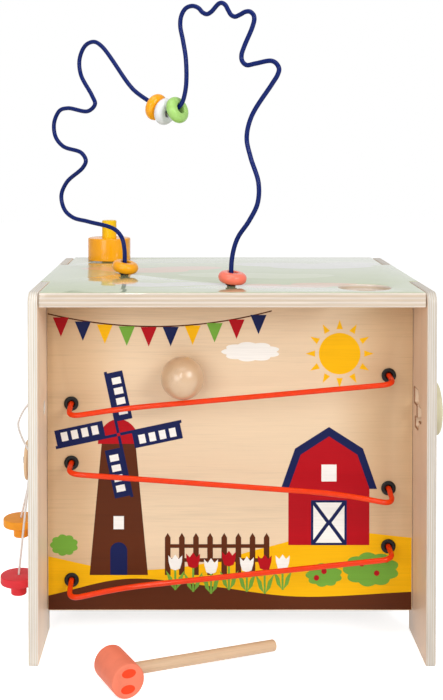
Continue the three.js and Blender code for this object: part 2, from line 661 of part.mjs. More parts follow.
function bolt({ shank, head, headHeight, nutHeight, tail }, headSeat) {
  const inside = -(SIDE_THICKNESS + SEAT_GAP + nutHeight + tail);
  const top = headSeat + headHeight;
  const edge = headHeight / 2;
  const profile = [
    [0, inside], [shank / 2, inside], [shank / 2, headSeat], [head / 2, headSeat],
    [head / 2, top - edge], [head / 2 - edge, top], [0, top],
  ];
  return turned(profile, SMALL_SIDES);
}

function boltNut({ shank, nut, nutHeight }) {
  const top = -(SIDE_THICKNESS + SEAT_GAP);
  return ring(nut, shank + 2 * SEAT_GAP, top - nutHeight, top, NUT_SIDES);
}

// Cord pull

const pulleyOuter = PULLEY_PANEL_GAP + PULLEY_THICKNESS;
const pulleyBore = PULLEY_BOLT.shank / 2 + SEAT_GAP;
const pulleyRadius = PULLEY_DIAMETER / 2;
const grooveRoot = CORD_RADIUS_ON_PULLEY - CORD_DIAMETER / 2 - SEAT_GAP;
const grooveHalf = PULLEY_GROOVE_WIDTH / 2;
const pulley = turned([
  [pulleyBore, PULLEY_PANEL_GAP], [pulleyRadius, PULLEY_PANEL_GAP],
  [pulleyRadius, PULLEY_GROOVE_OUT - grooveHalf], [grooveRoot, PULLEY_GROOVE_OUT - grooveHalf],
  [grooveRoot, PULLEY_GROOVE_OUT + grooveHalf], [pulleyRadius, PULLEY_GROOVE_OUT + grooveHalf],
  [pulleyRadius, pulleyOuter], [pulleyBore, pulleyOuter], [pulleyBore, PULLEY_PANEL_GAP],
]);
const cordPull = new THREE.Group();
cordPull.position.set(-OUTER_X, SIDE_BOLT_Y, PULLEY_HEIGHT);
assembly.add(cordPull);
addMesh(cordPull, 'pulley_wheel', outward(pulley, -1), BIRCH);
addMesh(cordPull, 'pulley_bolt', outward(bolt(PULLEY_BOLT, pulleyOuter + SEAT_GAP), -1), STEEL);
addMesh(cordPull, 'pulley_nut', outward(boltNut(PULLEY_BOLT), -1), STEEL);

// The stretch of cord in the wheel's groove, from its front tangent over the top to its back tangent
const bendPoints = [];
for (let i = 0; i <= BEND_POINTS; i += 1) {
  const angle = Math.PI * (1 - i / BEND_POINTS);
  const y = CORD_RADIUS_ON_PULLEY * Math.cos(angle);
  const z = CORD_RADIUS_ON_PULLEY * Math.sin(angle);
  bendPoints.push(new THREE.Vector3(-PULLEY_GROOVE_OUT, y, z + SEAT_GAP / 2));
}
const bendCurve = new THREE.CatmullRomCurve3(bendPoints);
addMesh(cordPull, 'pull_cord_bend', tube(bendCurve, CORD_DIAMETER, CORD_SIDES, CORD_STEPS), CORD);

const weights = [
  { name: 'red', out: WEIGHT_OUT, y: -CORD_RADIUS_ON_PULLEY, top: RED_WEIGHT_TOP, colour: 0xe11e2d },
  {
    name: 'orange', out: WEIGHT_OUT + ORANGE_WEIGHT_SWING, y: CORD_RADIUS_ON_PULLEY, top: ORANGE_WEIGHT_TOP,
    colour: 0xf59614,
  },
];
for (const weight of weights) {
  const discRadius = WEIGHT_DIAMETER / 2;
  const knobRadius = WEIGHT_KNOB_DIAMETER / 2;
  const knobEnd = -WEIGHT_DISC_HEIGHT - WEIGHT_KNOB_HEIGHT;
  const body = turned([
    [0, knobEnd], [knobRadius - WEIGHT_EDGE, knobEnd], [knobRadius, knobEnd + WEIGHT_EDGE],
    [knobRadius, -WEIGHT_DISC_HEIGHT], [discRadius - WEIGHT_EDGE, -WEIGHT_DISC_HEIGHT],
    [discRadius, WEIGHT_EDGE - WEIGHT_DISC_HEIGHT], [discRadius, -WEIGHT_EDGE],
    [discRadius - WEIGHT_EDGE, 0], [0, 0],
  ], MIDDLE_SIDES);
  const topHeight = weight.top - PULLEY_HEIGHT;
  const mesh = addMesh(cordPull, `${weight.name}_weight`, upright(body), paint(weight.colour));
  mesh.position.set(-weight.out, weight.y, topHeight);
  const leaves = new THREE.Vector3(-PULLEY_GROOVE_OUT, weight.y, -SEAT_GAP / 2);
  const ends = new THREE.Vector3(-weight.out, weight.y, topHeight + CORD_END_GAP);
  const hanging = tube(new THREE.LineCurve3(leaves, ends), CORD_DIAMETER, CORD_SIDES, CORD_STEPS);
  addMesh(cordPull, `${weight.name}_cord`, hanging, CORD);
}

const loopCurve = new THREE.CatmullRomCurve3(LOOP_POINTS.map(
  ([out, height]) => new THREE.Vector3(-OUTER_X - SEAT_GAP - CORD_DIAMETER / 2 - out, LACING_HOLE.y, height),
));
addMesh(assembly, 'cord_loop', tube(loopCurve, CORD_DIAMETER, CORD_SIDES, CORD_STEPS), CORD);

// Turning disc

const discInner = 2 * SEAT_GAP + SPACER_THICKNESS;
const discOuter = discInner + DISC_THICKNESS;
const discBore = DISC_BOLT.shank / 2 + SEAT_GAP;
const discRadius = DISC_DIAMETER / 2;
const disc = turned([
  [discBore, discInner], [discRadius - DISC_INNER_EDGE, discInner], [discRadius, discInner + DISC_INNER_EDGE],
  [discRadius, discOuter - DISC_EDGE], [discRadius - DISC_EDGE, discOuter],
  [discBore, discOuter], [discBore, discInner],
]);
const spacer = ring(SPACER_DIAMETER, 2 * discBore, SEAT_GAP, SEAT_GAP + SPACER_THICKNESS, MIDDLE_SIDES);
const turnDisc = new THREE.Group();
turnDisc.position.set(OUTER_X, SIDE_BOLT_Y, DISC_HEIGHT);
assembly.add(turnDisc);
addMesh(turnDisc, 'turn_disc', outward(disc, 1), paint(0xbec396));
addMesh(turnDisc, 'turn_disc_spacer', outward(spacer, 1), BIRCH);
addMesh(turnDisc, 'turn_disc_bolt', outward(bolt(DISC_BOLT, discOuter + SEAT_GAP), 1), STEEL);
addMesh(turnDisc, 'turn_disc_nut', outward(boltNut(DISC_BOLT), 1), STEEL);

// Hammer: a group whose X runs along the handle and whose Y runs along the head

const headRadius = HEAD_DIAMETER / 2;
const handleRadius = HANDLE_DIAMETER / 2;
const hammer = new THREE.Group();
hammer.position.set(HAMMER_X, HAMMER_Y, headRadius + FLOOR_GAP);
hammer.rotation.order = 'ZYX';
hammer.rotation.set(0, Math.asin((headRadius - handleRadius) / HANDLE_REACH), HAMMER_TURN);
assembly.add(hammer);
const half = HEAD_LENGTH / 2;
const headBlank = turned([
  [0, -half], [headRadius - HEAD_EDGE, -half], [headRadius, HEAD_EDGE - half],
  [headRadius, half - HEAD_EDGE], [headRadius - HEAD_EDGE, half], [0, half],
]);
const socketRadius = handleRadius + SEAT_GAP;
const socket = new THREE.CylinderGeometry(socketRadius, socketRadius, HEAD_DIAMETER, MIDDLE_SIDES);
outward(socket, 1).translate(headRadius - HANDLE_SOCKET - SEAT_GAP, 0, 0);
addMesh(hammer, 'hammer_head', cut(headBlank, [socket]), paint(0xfa8c73));
const handle = turned([
  [0, -HANDLE_SOCKET], [handleRadius, -HANDLE_SOCKET], [handleRadius, HANDLE_REACH - HANDLE_EDGE],
  [handleRadius - HANDLE_EDGE, HANDLE_REACH], [0, HANDLE_REACH],
], MIDDLE_SIDES);
addMesh(hammer, 'hammer_handle', outward(handle, 1), BIRCH);

// The origin is on the floor, in the middle of everything that stands there
const activityCube = new THREE.Group();
activityCube.add(assembly);
activityCube.updateMatrixWorld(true);
const reach = new THREE.Box3().setFromObject(assembly, true);
const middle = reach.getCenter(new THREE.Vector3());
assembly.position.set(-middle.x, -middle.y, -reach.min.z);

export default activityCube;
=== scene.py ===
# Looks of the activity cube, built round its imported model. Metres, +Z up, front towards -Y.

from math import asin, cos, pi, radians, sin, sqrt, tan

import bmesh
import bpy
from mathutils import Matrix, Vector
from mathutils.geometry import delaunay_2d_cdt


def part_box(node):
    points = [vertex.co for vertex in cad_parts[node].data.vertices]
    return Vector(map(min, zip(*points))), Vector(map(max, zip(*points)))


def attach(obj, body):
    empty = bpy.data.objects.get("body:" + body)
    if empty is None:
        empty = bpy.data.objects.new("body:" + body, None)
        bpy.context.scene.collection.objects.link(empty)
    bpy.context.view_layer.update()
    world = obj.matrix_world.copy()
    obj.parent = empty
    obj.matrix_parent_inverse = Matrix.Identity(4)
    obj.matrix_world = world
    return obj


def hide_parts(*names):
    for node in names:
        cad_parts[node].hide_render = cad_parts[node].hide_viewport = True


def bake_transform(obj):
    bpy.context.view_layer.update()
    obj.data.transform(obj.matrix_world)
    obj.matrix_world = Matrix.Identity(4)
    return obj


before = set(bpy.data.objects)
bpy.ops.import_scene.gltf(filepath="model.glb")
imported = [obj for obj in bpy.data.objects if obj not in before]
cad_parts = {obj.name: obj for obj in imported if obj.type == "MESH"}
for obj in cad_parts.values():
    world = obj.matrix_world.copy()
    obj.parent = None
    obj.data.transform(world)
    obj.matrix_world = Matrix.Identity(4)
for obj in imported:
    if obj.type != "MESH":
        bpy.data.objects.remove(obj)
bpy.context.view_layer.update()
scene = bpy.context.scene
MM = 0.001


def link(name, data):
    """An object in the scene."""
    made = bpy.data.objects.new(name, data)
    scene.collection.objects.link(made)
    return made


# Camera: at the photograph's viewpoint, almost level, with a lens shift that keeps the uprights upright
SENSOR_LONG_SIDE = 36.0
CAMERA_PLACE = Vector((-28.43, -1239.425, 524.95)) * MM
CAMERA_PITCH = radians(1.115)
CAMERA_LENS = 57.156
CAMERA_SHIFT = (0.0404, -0.265)

camera_data = bpy.data.cameras.new("camera")
camera_data.sensor_width = SENSOR_LONG_SIDE
camera_data.lens = CAMERA_LENS
camera_data.shift_x, camera_data.shift_y = CAMERA_SHIFT
camera = link("camera", camera_data)
camera.location = CAMERA_PLACE
camera.rotation_euler = (pi / 2 - CAMERA_PITCH, 0, 0)
scene.camera = camera

# Fineness of the round shapes
LATHE_SIDES = 72
SMALL_SIDES = 40
TUBE_SIDES = 20
CORD_SIDES = 18
ROUND_STEPS = 6
ARRIS_STEPS = 4
SMOOTH_ANGLE = radians(32)
# How far a cutter reaches past the face that it cuts, in millimetres
CUT_PAST = 1
# Points nearer than this are one point: of an outline in millimetres, of a piece in metres
SAME_SPOT = 1e-5
WELD_DISTANCE = 1e-7
# The fill's own number for triangles that stay within the borders
FILL_TRIANGLES = 1


# Shapes

def middle(node):
    low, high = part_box(node)
    return (low + high) / 2


def size(node):
    """How far a solid reaches along each axis, in millimetres."""
    low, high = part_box(node)
    return (high - low) / MM


def at(x, y, z, direction=None):
    """A place in metres, at which a piece's own Z axis points along a direction."""
    place = Matrix.Translation((x, y, z))
    if direction:
        place = place @ Vector(direction).to_track_quat("Z", "Y").to_matrix().to_4x4()
    return place


def circle(a, b, diameter, sides=SMALL_SIDES):
    return oval(a, b, diameter / 2, diameter / 2, sides)


def oval(a, b, half_wide, half_high, sides=SMALL_SIDES):
    angles = [2 * pi * side / sides for side in range(sides)]
    return [(a + half_wide * cos(angle), b + half_high * sin(angle)) for angle in angles]


def box_outline(left, right, low, high):
    return [(left, low), (right, low), (right, high), (left, high)]


def rounded(corners, closed=False, steps=ROUND_STEPS):
    """The points of an outline whose corners (a, b, radius) are rounded. Millimetres in and out."""
    points = []
    count = len(corners)
    for i, (a, b, radius) in enumerate(corners):
        corner = Vector((a, b))
        if not radius or (not closed and i in (0, count - 1)):
            points.append(corner)
            continue
        before = (Vector(corners[i - 1][:2]) - corner).normalized()
        after = (Vector(corners[(i + 1) % count][:2]) - corner).normalized()
        half = before.angle(after) / 2
        centre = corner + (before + after).normalized() * (radius / sin(half))
        start = corner + before * (radius / tan(half)) - centre
        end = corner + after * (radius / tan(half)) - centre
        turn = start.angle_signed(end)
        for step in range(steps + 1):
            points.append(centre + Matrix.Rotation(-turn * step / steps, 2) @ start)
    return [(point.x, point.y) for point in points]


def link_piece(name, shape, place=None):
    """A piece from a bmesh, with its faces pointing out and only its sharp edges creased."""
    bmesh.ops.remove_doubles(shape, verts=shape.verts, dist=WELD_DISTANCE)
    bmesh.ops.recalc_face_normals(shape, faces=shape.faces)
    mesh = bpy.data.meshes.new(name)
    shape.to_mesh(mesh)
    shape.free()
    crease(mesh)
    piece = link(name, mesh)
    if place is not None:
        piece.matrix_world = place
    return piece


def crease(mesh):
    mesh.shade_smooth()
    mesh.set_sharp_from_angle(angle=SMOOTH_ANGLE)


def skin(shape, rings):
    """The faces between closed rings of as many vertices each. A ring may be one vertex over and over."""
    faces = []
    for lower, upper in zip(rings, rings[1:]):
        for i in range(len(lower)):
            corners = tuple(dict.fromkeys((lower[i - 1], lower[i], upper[i], upper[i - 1])))
            faces.append(shape.faces.new(corners))
    return faces


def ring_corners(bore, radius, low, high, low_edge, high_edge, bore_edge=0):
    """The corners of a turned ring, or of a rod where the bore is 0."""
    corners = [(bore, low, 0), (radius, low, low_edge), (radius, high, high_edge), (bore, high, bore_edge)]
    return corners + corners[:1] if bore else corners


def lathe(name, corners, sides=LATHE_SIDES, place=None, steps=ROUND_STEPS):
    """A turned piece about its own Z axis.

    Its corners (radius, height, rounding) close on themselves or on the axis.
    """
    shape = bmesh.new()
    rings = []
    for radius, height in rounded(corners, steps=steps):
        if radius < SAME_SPOT:
            rings.append([shape.verts.new((0, 0, height * MM))] * sides)
        else:
            ring = circle(0, 0, 2 * radius, sides)
            rings.append([shape.verts.new((x * MM, y * MM, height * MM)) for x, y in ring])
    skin(shape, rings)
    return link_piece(name, shape, place)


def sweep(name, points, radius, sides=TUBE_SIDES, lobes=0, lobe_depth=0.0, lay=1.0):
    """A closed tube along points in metres. Its lobes turn once in every lay, as strands do."""
    last = len(points) - 1
    tangents = [(points[min(i + 1, last)] - points[max(i - 1, 0)]).normalized() for i in range(last + 1)]
    normal = tangents[0].orthogonal().normalized()
    travelled = 0.0
    shape = bmesh.new()
    rings = []
    for i, (point, tangent) in enumerate(zip(points, tangents)):
        if i:
            normal = tangents[i - 1].rotation_difference(tangent) @ normal
            travelled += (point - points[i - 1]).length
        normal = (normal - tangent * normal.dot(tangent)).normalized()
        across = tangent.cross(normal)
        ring = []
        for side in range(sides):
            angle = 2 * pi * side / sides
            ripple = cos(lobes * (angle - 2 * pi * travelled / lay))
            reach = radius * (1 - lobe_depth * (1 - ripple) / 2)
            outward = normal * cos(angle) + across * sin(angle)
            ring.append(shape.verts.new(point + outward * reach))
        rings.append(ring)
    skin(shape, rings)
    shape.faces.new(rings[0])
    shape.faces.new(rings[-1])
    return link_piece(name, shape)


def inset_loop(loop, inset):
    """A closed loop moved sideways to its left by the inset, with mitred corners."""
    moved = []
    for i, point in enumerate(loop):
        before = (point - loop[i - 1]).normalized()
        after = (loop[(i + 1) % len(loop)] - point).normalized()
        left_after = Vector((-after.y, after.x))
        mitre = (Vector((-before.y, before.x)) + left_after).normalized()
        moved.append(point + mitre * (inset / mitre.dot(left_after)))
    return moved


def wound(points, anticlockwise):
    """A loop that runs the way asked."""
    loop = [Vector(point) for point in points]
    twice_area = sum(loop[i - 1].cross(loop[i]) for i in range(len(loop)))
    if (twice_area > 0) != anticlockwise:
        loop.reverse()
    return loop


def inside(spot, loop):
    """Whether a spot lies within a closed loop."""
    crossings = 0
    for i, end in enumerate(loop):
        start = loop[i - 1]
        if (start.y > spot.y) != (end.y > spot.y):
            if spot.x < start.x + (end.x - start.x) * (spot.y - start.y) / (end.y - start.y):
                crossings += 1
    return crossings % 2 == 1


# How an outline's plane lies in a board, by the axis of the board's thickness
PLANES = {
    "X": Matrix(((0, 0, 1, 0), (1, 0, 0, 0), (0, 1, 0, 0), (0, 0, 0, 1))),
    "Y": Matrix(((1, 0, 0, 0), (0, 0, -1, 0), (0, 1, 0, 0), (0, 0, 0, 1))),
    "Z": Matrix.Identity(4),
}


def plate(name, node, thin_axis, loops, edge, dark_loop=None):
    """A flat board with rounded arrises. Loops (millimetres) are its outline and then its holes.

    The walls of the dark loop take the board's second material.
    """
    index = "XYZ".index(thin_axis)
    thickness = size(node)[index]
    offset = Vector((0, 0, 0))
    offset[index] = middle(node)[index]
    levels = []
    for step in range(ARRIS_STEPS + 1):
        angle = pi / 2 * step / ARRIS_STEPS
        levels.append((edge * (1 - sin(angle)), thickness / 2 - edge * (1 - cos(angle))))
    levels = [(inset, -height) for inset, height in levels] + levels[::-1]
    shape = bmesh.new()
    caps = {0: [], len(levels) - 1: []}
    for number, points in enumerate(loops):
        loop = wound(points, number == 0)
        rings = []
        for inset, height in levels:
            rings.append([shape.verts.new((x * MM, y * MM, height * MM)) for x, y in inset_loop(loop, inset)])
        for wall in skin(shape, rings):
            wall.material_index = int(number == dark_loop)
        for level, rims in caps.items():
            rims.append(rings[level])
    for rims in caps.values():
        borders = []
        first = 0
        for rim in rims:
            borders += [(first + i, first + (i + 1) % len(rim)) for i in range(len(rim))]
            first += len(rim)
        corners = [vert for rim in rims for vert in rim]
        bounds = [[vert.co.xy / MM for vert in rim] for rim in rims]
        flat = [point for rim in bounds for point in rim]
        spots, _, faces, origins = delaunay_2d_cdt(flat, borders, [], FILL_TRIANGLES, SAME_SPOT)[:4]
        for face in faces:
            spot = sum((spots[i] for i in face), Vector((0, 0))) / len(face)
            if inside(spot, bounds[0]) and not any(inside(spot, hole) for hole in bounds[1:]):
                shape.faces.new([corners[origins[i][0]] for i in face])
    shape.transform(Matrix.Translation(offset) @ PLANES[thin_axis])
    return link_piece(name, shape)


def prism(name, outlines, thickness, place):
    """Flat closed shapes of one thickness, from outlines in millimetres, as one piece."""
    shape = bmesh.new()
    for outline in outlines:
        front_face = shape.faces.new([shape.verts.new((a * MM, b * MM, 0)) for a, b in outline])
        grown = bmesh.ops.extrude_face_region(shape, geom=[front_face])
        moved = [item for item in grown["geom"] if isinstance(item, bmesh.types.BMVert)]
        bmesh.ops.translate(shape, verts=moved, vec=(0, 0, thickness * MM))
    shape.transform(place)
    return link_piece(name, shape)


def carve(piece, cutters):
    """Cuts the cutters out of a piece and deletes them."""
    for cutter in cutters:
        modifier = piece.modifiers.new("cut", "BOOLEAN")
        modifier.object = cutter
        modifier.operation = "DIFFERENCE"
        modifier.solver = "EXACT"
    bpy.context.view_layer.update()
    cut = bpy.data.meshes.new_from_object(piece.evaluated_get(bpy.context.evaluated_depsgraph_get()))
    piece.modifiers.clear()
    old = piece.data
    piece.data = cut
    bpy.data.meshes.remove(old)
    for cutter in cutters:
        bpy.data.objects.remove(cutter)
    crease(cut)


def dress(piece, body, node, slot, *materials):
    """Puts a finished piece on its body, in the place of its solid where it has one."""
    if piece.data.materials:
        piece.data.materials.clear()
    for material in materials:
        piece.data.materials.append(material)
    if body:
        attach(piece, body)
    if node:
        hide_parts(node)


# Materials

# Scales of the broad bands and the fine fibres of wood, across and along its grain, and the bands' share
BAND_SCALES = (39.0, 2.2)
FIBRE_SCALES = (780.0, 20.0)
BAND_SHARE = 0.55
# How squarely a surface faces along an axis where it begins to count as a face, and where it counts in full
FACING_STEP = (0.6, 0.9)


def colour(red, green, blue):
    """A colour given in everyday 0 to 255 values, as the renderer's linear ones."""
    def linear(value):
        share = value / 255
        return share / 12.92 if share <= 0.04045 else ((share + 0.055) / 1.055) ** 2.4
    return (linear(red), linear(green), linear(blue), 1.0)


def shaded(tone, factor):
    return tuple(min(1.0, channel * factor) for channel in tone[:3]) + (1.0,)


class Nodes:
    """A tree of shader nodes. Each node is made with what its inputs take, and gives its outputs."""

    def __init__(self, tree):
        self.tree = tree

    def feed(self, made, inputs):
        """Sets a node's inputs to values, or links them to other nodes' outputs."""
        for socket, value in inputs.items():
            if isinstance(value, bpy.types.NodeSocket):
                self.tree.links.new(value, made.inputs[socket])
            else:
                made.inputs[socket].default_value = value
        return made.outputs

    def node(self, kind, inputs=None, **settings):
        made = self.tree.nodes.new("ShaderNode" + kind)
        for key, value in settings.items():
            setattr(made, key, value)
        return self.feed(made, inputs or {})

    def maths(self, operation, *values):
        return self.node("Math", dict(enumerate(values)), operation=operation)["Value"]

    def mix(self, factor, first, second, blend="MIX"):
        inputs = {0: factor, 6: first, 7: second}
        return self.node("Mix", inputs, data_type="RGBA", blend_type=blend)[2]

    def soft_step(self, value, low, high):
        inputs = {"Value": value, "From Min": low, "From Max": high}
        return self.node("MapRange", inputs, interpolation_type="SMOOTHSTEP")["Result"]

    def spread(self, value, low, high):
        """A value from 0 to 1, spread from low to high."""
        return self.node("MapRange", {"Value": value, "To Min": low, "To Max": high})["Result"]


class Surface(Nodes):
    """A procedural material round one shader."""

    def __init__(self, name, roughness=0.5, coat=0.0, coat_roughness=0.05, metallic=0.0, specular=0.5):
        self.material = bpy.data.materials.new(name)
        self.material.use_nodes = True
        super().__init__(self.material.node_tree)
        self.shader = self.tree.nodes["Principled BSDF"]
        self.feed(self.shader, {
            "Roughness": roughness, "Metallic": metallic, "Specular IOR Level": specular,
            "Coat Weight": coat, "Coat Roughness": coat_roughness,
        })

    def place(self, scale=(1, 1, 1)):
        """The piece's own coordinates in metres, stretched."""
        own = self.node("TexCoord")["Object"]
        return self.node("Mapping", {"Vector": own, "Scale": scale})["Vector"]

    def noise(self, vector, scale=1.0, detail=3.0, roughness=0.55, distortion=0.0):
        return self.node("TexNoise", {
            "Vector": vector, "Scale": scale, "Detail": detail, "Roughness": roughness,
            "Distortion": distortion,
        })["Fac"]

    def ramp(self, factor, *stops):
        made = self.tree.nodes.new("ShaderNodeValToRGB")
        elements = made.color_ramp.elements
        while len(elements) < len(stops):
            elements.new(0.5)
        for element, (position, tone) in zip(elements, stops):
            element.position = position
            element.color = tone
        return self.feed(made, {"Fac": factor})["Color"]

    def tinted(self, factor, tone, *stops):
        """A ramp between shades of one tone. The stops are (position, share of the tone)."""
        return self.ramp(factor, *((position, shaded(tone, share)) for position, share in stops))

    def axis_of(self, vector, axis):
        return self.node("SeparateXYZ", {"Vector": vector})["XYZ".index(axis)]

    def facing_share(self, axis, signed=False):
        """How much the surface faces along an axis of the whole part, from 0 to 1."""
        share = self.axis_of(self.node("NewGeometry")["Normal"], axis)
        if not signed:
            share = self.maths("ABSOLUTE", share)
        return self.soft_step(share, *FACING_STEP)

    def stretched(self, axis, across, along):
        """The piece's own coordinates at one scale across an axis and another along it."""
        scale = [across] * 3
        scale["XYZ".index(axis)] = along
        return self.place(scale)

    def grain(self, axis):
        """Streaks of wood along an axis, from broad bands and fine fibres, and the fibres alone."""
        bands = self.noise(self.stretched(axis, *BAND_SCALES), detail=4.0, roughness=0.5, distortion=0.6)
        fibres = self.noise(self.stretched(axis, *FIBRE_SCALES), detail=2.0, roughness=0.6)
        band_part = self.maths("MULTIPLY", bands, BAND_SHARE)
        fibre_part = self.maths("MULTIPLY", fibres, 1 - BAND_SHARE)
        return self.maths("ADD", band_part, fibre_part), fibres

    def finish(self, tone, rough, bump):
        """Sets the tone, a roughness (texture, low, high) and bumps (texture, strength, depth)."""
        texture, strength, depth = bump
        normal = self.node("Bump", {"Height": texture, "Strength": strength, "Distance": depth})["Normal"]
        self.feed(self.shader, {"Base Color": tone, "Roughness": self.spread(*rough), "Normal": normal})
        return self.material


# Colours seen in the photograph
BIRCH = colour(232, 196, 156)
PANEL_BIRCH = colour(224, 199, 166)
# Painted light and shade: the two side boards are one plywood, the left one's veneer painted lighter and the
# right one's darker
SIDE_BIRCH_LIT_AND_SHADED = {"left": colour(242, 222, 198), "right": colour(216, 189, 164)}
BALL_WOOD = colour(205, 172, 137)
HANDLE_WOOD = colour(214, 182, 148)
# Layers of the plywood's edges: their number, and their light and dark tones
PLIES = {
    # Painted light and shade: the left side board's ply edges are painted lighter and the right one's darker,
    # on the same plywood
    "left": (9, colour(230, 225, 217), colour(211, 199, 181)),
    "right": (9, colour(213, 207, 200), colour(195, 183, 166)),
    "top": (7, colour(218, 204, 190), colour(199, 180, 157)),
    "cross": (5, colour(228, 223, 215), colour(209, 197, 179)),
}
MINT = colour(178, 190, 146)
PALE_MINT = colour(196, 204, 168)
SOFT_PINK = colour(216, 178, 150)
SOFT_WHITE = colour(208, 206, 200)
RAIL_ORANGE = colour(228, 56, 6)
NAVY = colour(12, 32, 100)
BLACK = colour(17, 15, 14)
ORANGE = colour(254, 167, 0)
CORAL = colour(253, 122, 99)
WHITE = colour(232, 232, 235)
GREEN = colour(164, 210, 112)
DRUM_ORANGE = colour(255, 168, 2)
YELLOW = colour(250, 200, 20)
RED = colour(234, 60, 68)
WEIGHT_ORANGE = colour(252, 162, 46)
DISC_GREEN = colour(222, 216, 182)
HEAD_CORAL = colour(240, 132, 104)
OVAL_RED = colour(250, 74, 40)
COTTON = colour(240, 232, 226)
STEEL = colour(205, 206, 208)
CHAR = colour(142, 98, 68)
TAN = colour(206, 178, 150)
EDGE_GRAIN = (0.86, 0.86, 0.86, 1)


def wood(name, tone, axis, contrast=0.1, gloss=0.42, coat=0.06):
    """Lacquered bare wood with its grain along one of the piece's own axes."""
    surface = Surface(name, gloss, coat, 0.18, specular=0.35)
    streaks, fibres = surface.grain(axis)
    tones = surface.tinted(streaks, tone, (0.3, 1 - 1.5 * contrast), (0.47, 1), (0.68, 1 + 0.6 * contrast))
    return surface.finish(tones, (fibres, gloss - 0.07, gloss + 0.1), (fibres, 0.12, 0.0002))


def painted(name, tone, gloss=0.24, coat=0.5):
    """Gloss paint on turned wood: faint cloudiness, and the wood's fibres just telling through."""
    surface = Surface(name, gloss, coat, 0.07, specular=0.08)
    clouds = surface.noise(surface.place(), 55.0, 4.0)
    streaks, fibres = surface.grain("Z")
    tones = surface.tinted(clouds, tone, (0.3, 0.93), (0.5, 1), (0.75, 1.05))
    tones = surface.mix(surface.maths("MULTIPLY", streaks, 0.12), tones, shaded(tone, 0.8))
    return surface.finish(tones, (clouds, gloss - 0.05, gloss + 0.08), (fibres, 0.05, 0.00012))


def coated_wire(name, tone, coat):
    """Thick gloss coating on bent wire: slight waviness and a hard shine."""
    surface = Surface(name, 0.2, coat, 0.05, specular=0.02)
    waves = surface.noise(surface.place(), 140.0, 3.0)
    tones = surface.tinted(waves, tone, (0.28, 0.94), (0.5, 1), (0.78, 1.05))
    return surface.finish(tones, (waves, 0.15, 0.28), (waves, 0.04, 0.00025))


def rubber(name, tone):
    surface = Surface(name, 0.4, specular=0.25)
    specks = surface.noise(surface.place(), 900.0, 3.0)
    tones = surface.tinted(specks, tone, (0.3, 0.75), (0.7, 1.5))
    return surface.finish(tones, (specks, 0.3, 0.48), (specks, 0.1, 0.0001))


def plated(name, tone):
    """Zinc plate: fine brushed streaks and patches."""
    surface = Surface(name, 0.3, metallic=1.0)
    patches = surface.noise(surface.place(), 320.0, 4.0)
    streaks = surface.noise(surface.place((3000, 3000, 150)), 1.0, 2.0)
    tones = surface.tinted(patches, tone, (0.3, 0.8), (0.7, 1))
    return surface.finish(tones, (streaks, 0.2, 0.42), (streaks, 0.06, 0.00005))


def cotton(name, tone):
    """Twisted cotton cord: fuzzy, with fine yarn lines."""
    surface = Surface(name, 0.9)
    surface.feed(surface.shader, {"Sheen Weight": 0.35})
    yarn = surface.noise(surface.place((1, 1, 0.4)), 2400.0, 2.0)
    tones = surface.tinted(yarn, tone, (0.3, 0.8), (0.6, 1), (0.8, 1.04))
    return surface.finish(tones, (yarn, 0.82, 0.98), (yarn, 0.3, 0.0002))


def board(name, node, thin_axis, layers, face_tone, grain_axis, face=None, gloss=(0.06, 0.18, 0.35)):
    """Plywood: veneer on its two faces, stripes of its layers round its edges.

    The gloss is the coat, the coat's roughness and the specular level.
    """
    coat, coat_roughness, specular = gloss
    surface = Surface(name, 0.42, coat, coat_roughness, specular=specular)
    count, light, dark = layers
    streaks, fibres = surface.grain(grain_axis)
    veneer = surface.tinted(streaks, face_tone, (0.3, 0.87), (0.47, 1), (0.68, 1.05))
    if face:
        veneer = face(surface, veneer)
    layer = surface.maths("MULTIPLY", thin_share(surface, node, thin_axis), count / 2)
    wobble = surface.maths("MULTIPLY", surface.noise(surface.place((40, 40, 40)), 1.0, 3.0), 0.12)
    stripe = surface.maths("FRACT", surface.maths("ADD", layer, wobble))
    pale = shaded(dark, 1.07)
    stripes = surface.ramp(
        stripe, (0.0, dark), (0.06, light), (0.46, light), (0.52, dark), (0.6, pale), (0.94, pale),
    )
    edge_grain = surface.ramp(fibres, (0.3, EDGE_GRAIN), (0.7, (1, 1, 1, 1)))
    edges = surface.mix(1.0, stripes, edge_grain, "MULTIPLY")
    tones = surface.mix(surface.facing_share(thin_axis), edges, veneer)
    return surface.finish(tones, (fibres, 0.34, 0.52), (fibres, 0.1, 0.0002))


def thin_share(surface, node, thin_axis):
    """How far through a board's thickness a spot lies, from 0 to 1."""
    index = "XYZ".index(thin_axis)
    depth = surface.axis_of(surface.place(), thin_axis)
    from_low = surface.maths("SUBTRACT", depth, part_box(node)[0][index])
    return surface.maths("DIVIDE", from_low, size(node)[index] * MM)


def scorched(name, node, thin_axis):
    """The walls of a slot cut by heat: dark along both arrises, tan between them."""
    surface = Surface(name, 0.6, specular=0.25)
    smoke = surface.noise(surface.place(), 260.0, 3.0)
    drift = surface.maths("MULTIPLY", surface.maths("SUBTRACT", smoke, 0.5), 0.05)
    share = surface.maths("ADD", thin_share(surface, node, thin_axis), drift)
    tones = surface.ramp(share, (0.07, CHAR), (0.14, TAN), (0.86, TAN), (0.93, CHAR))
    return surface.finish(tones, (smoke, 0.5, 0.7), (smoke, 0.1, 0.0002))


def printed(name, tone):
    """Ink on veneer: the grain just tells through."""
    surface = Surface(name, 0.5, specular=0.15)
    streaks, fibres = surface.grain("X")
    tones = surface.tinted(streaks, tone, (0.3, 0.9), (0.5, 1), (0.7, 1.08))
    return surface.finish(tones, (fibres, 0.42, 0.58), (fibres, 0.06, 0.0001))


# Cords: the stretch over the wheel, the two hanging stretches and the loop beside the lacing hole

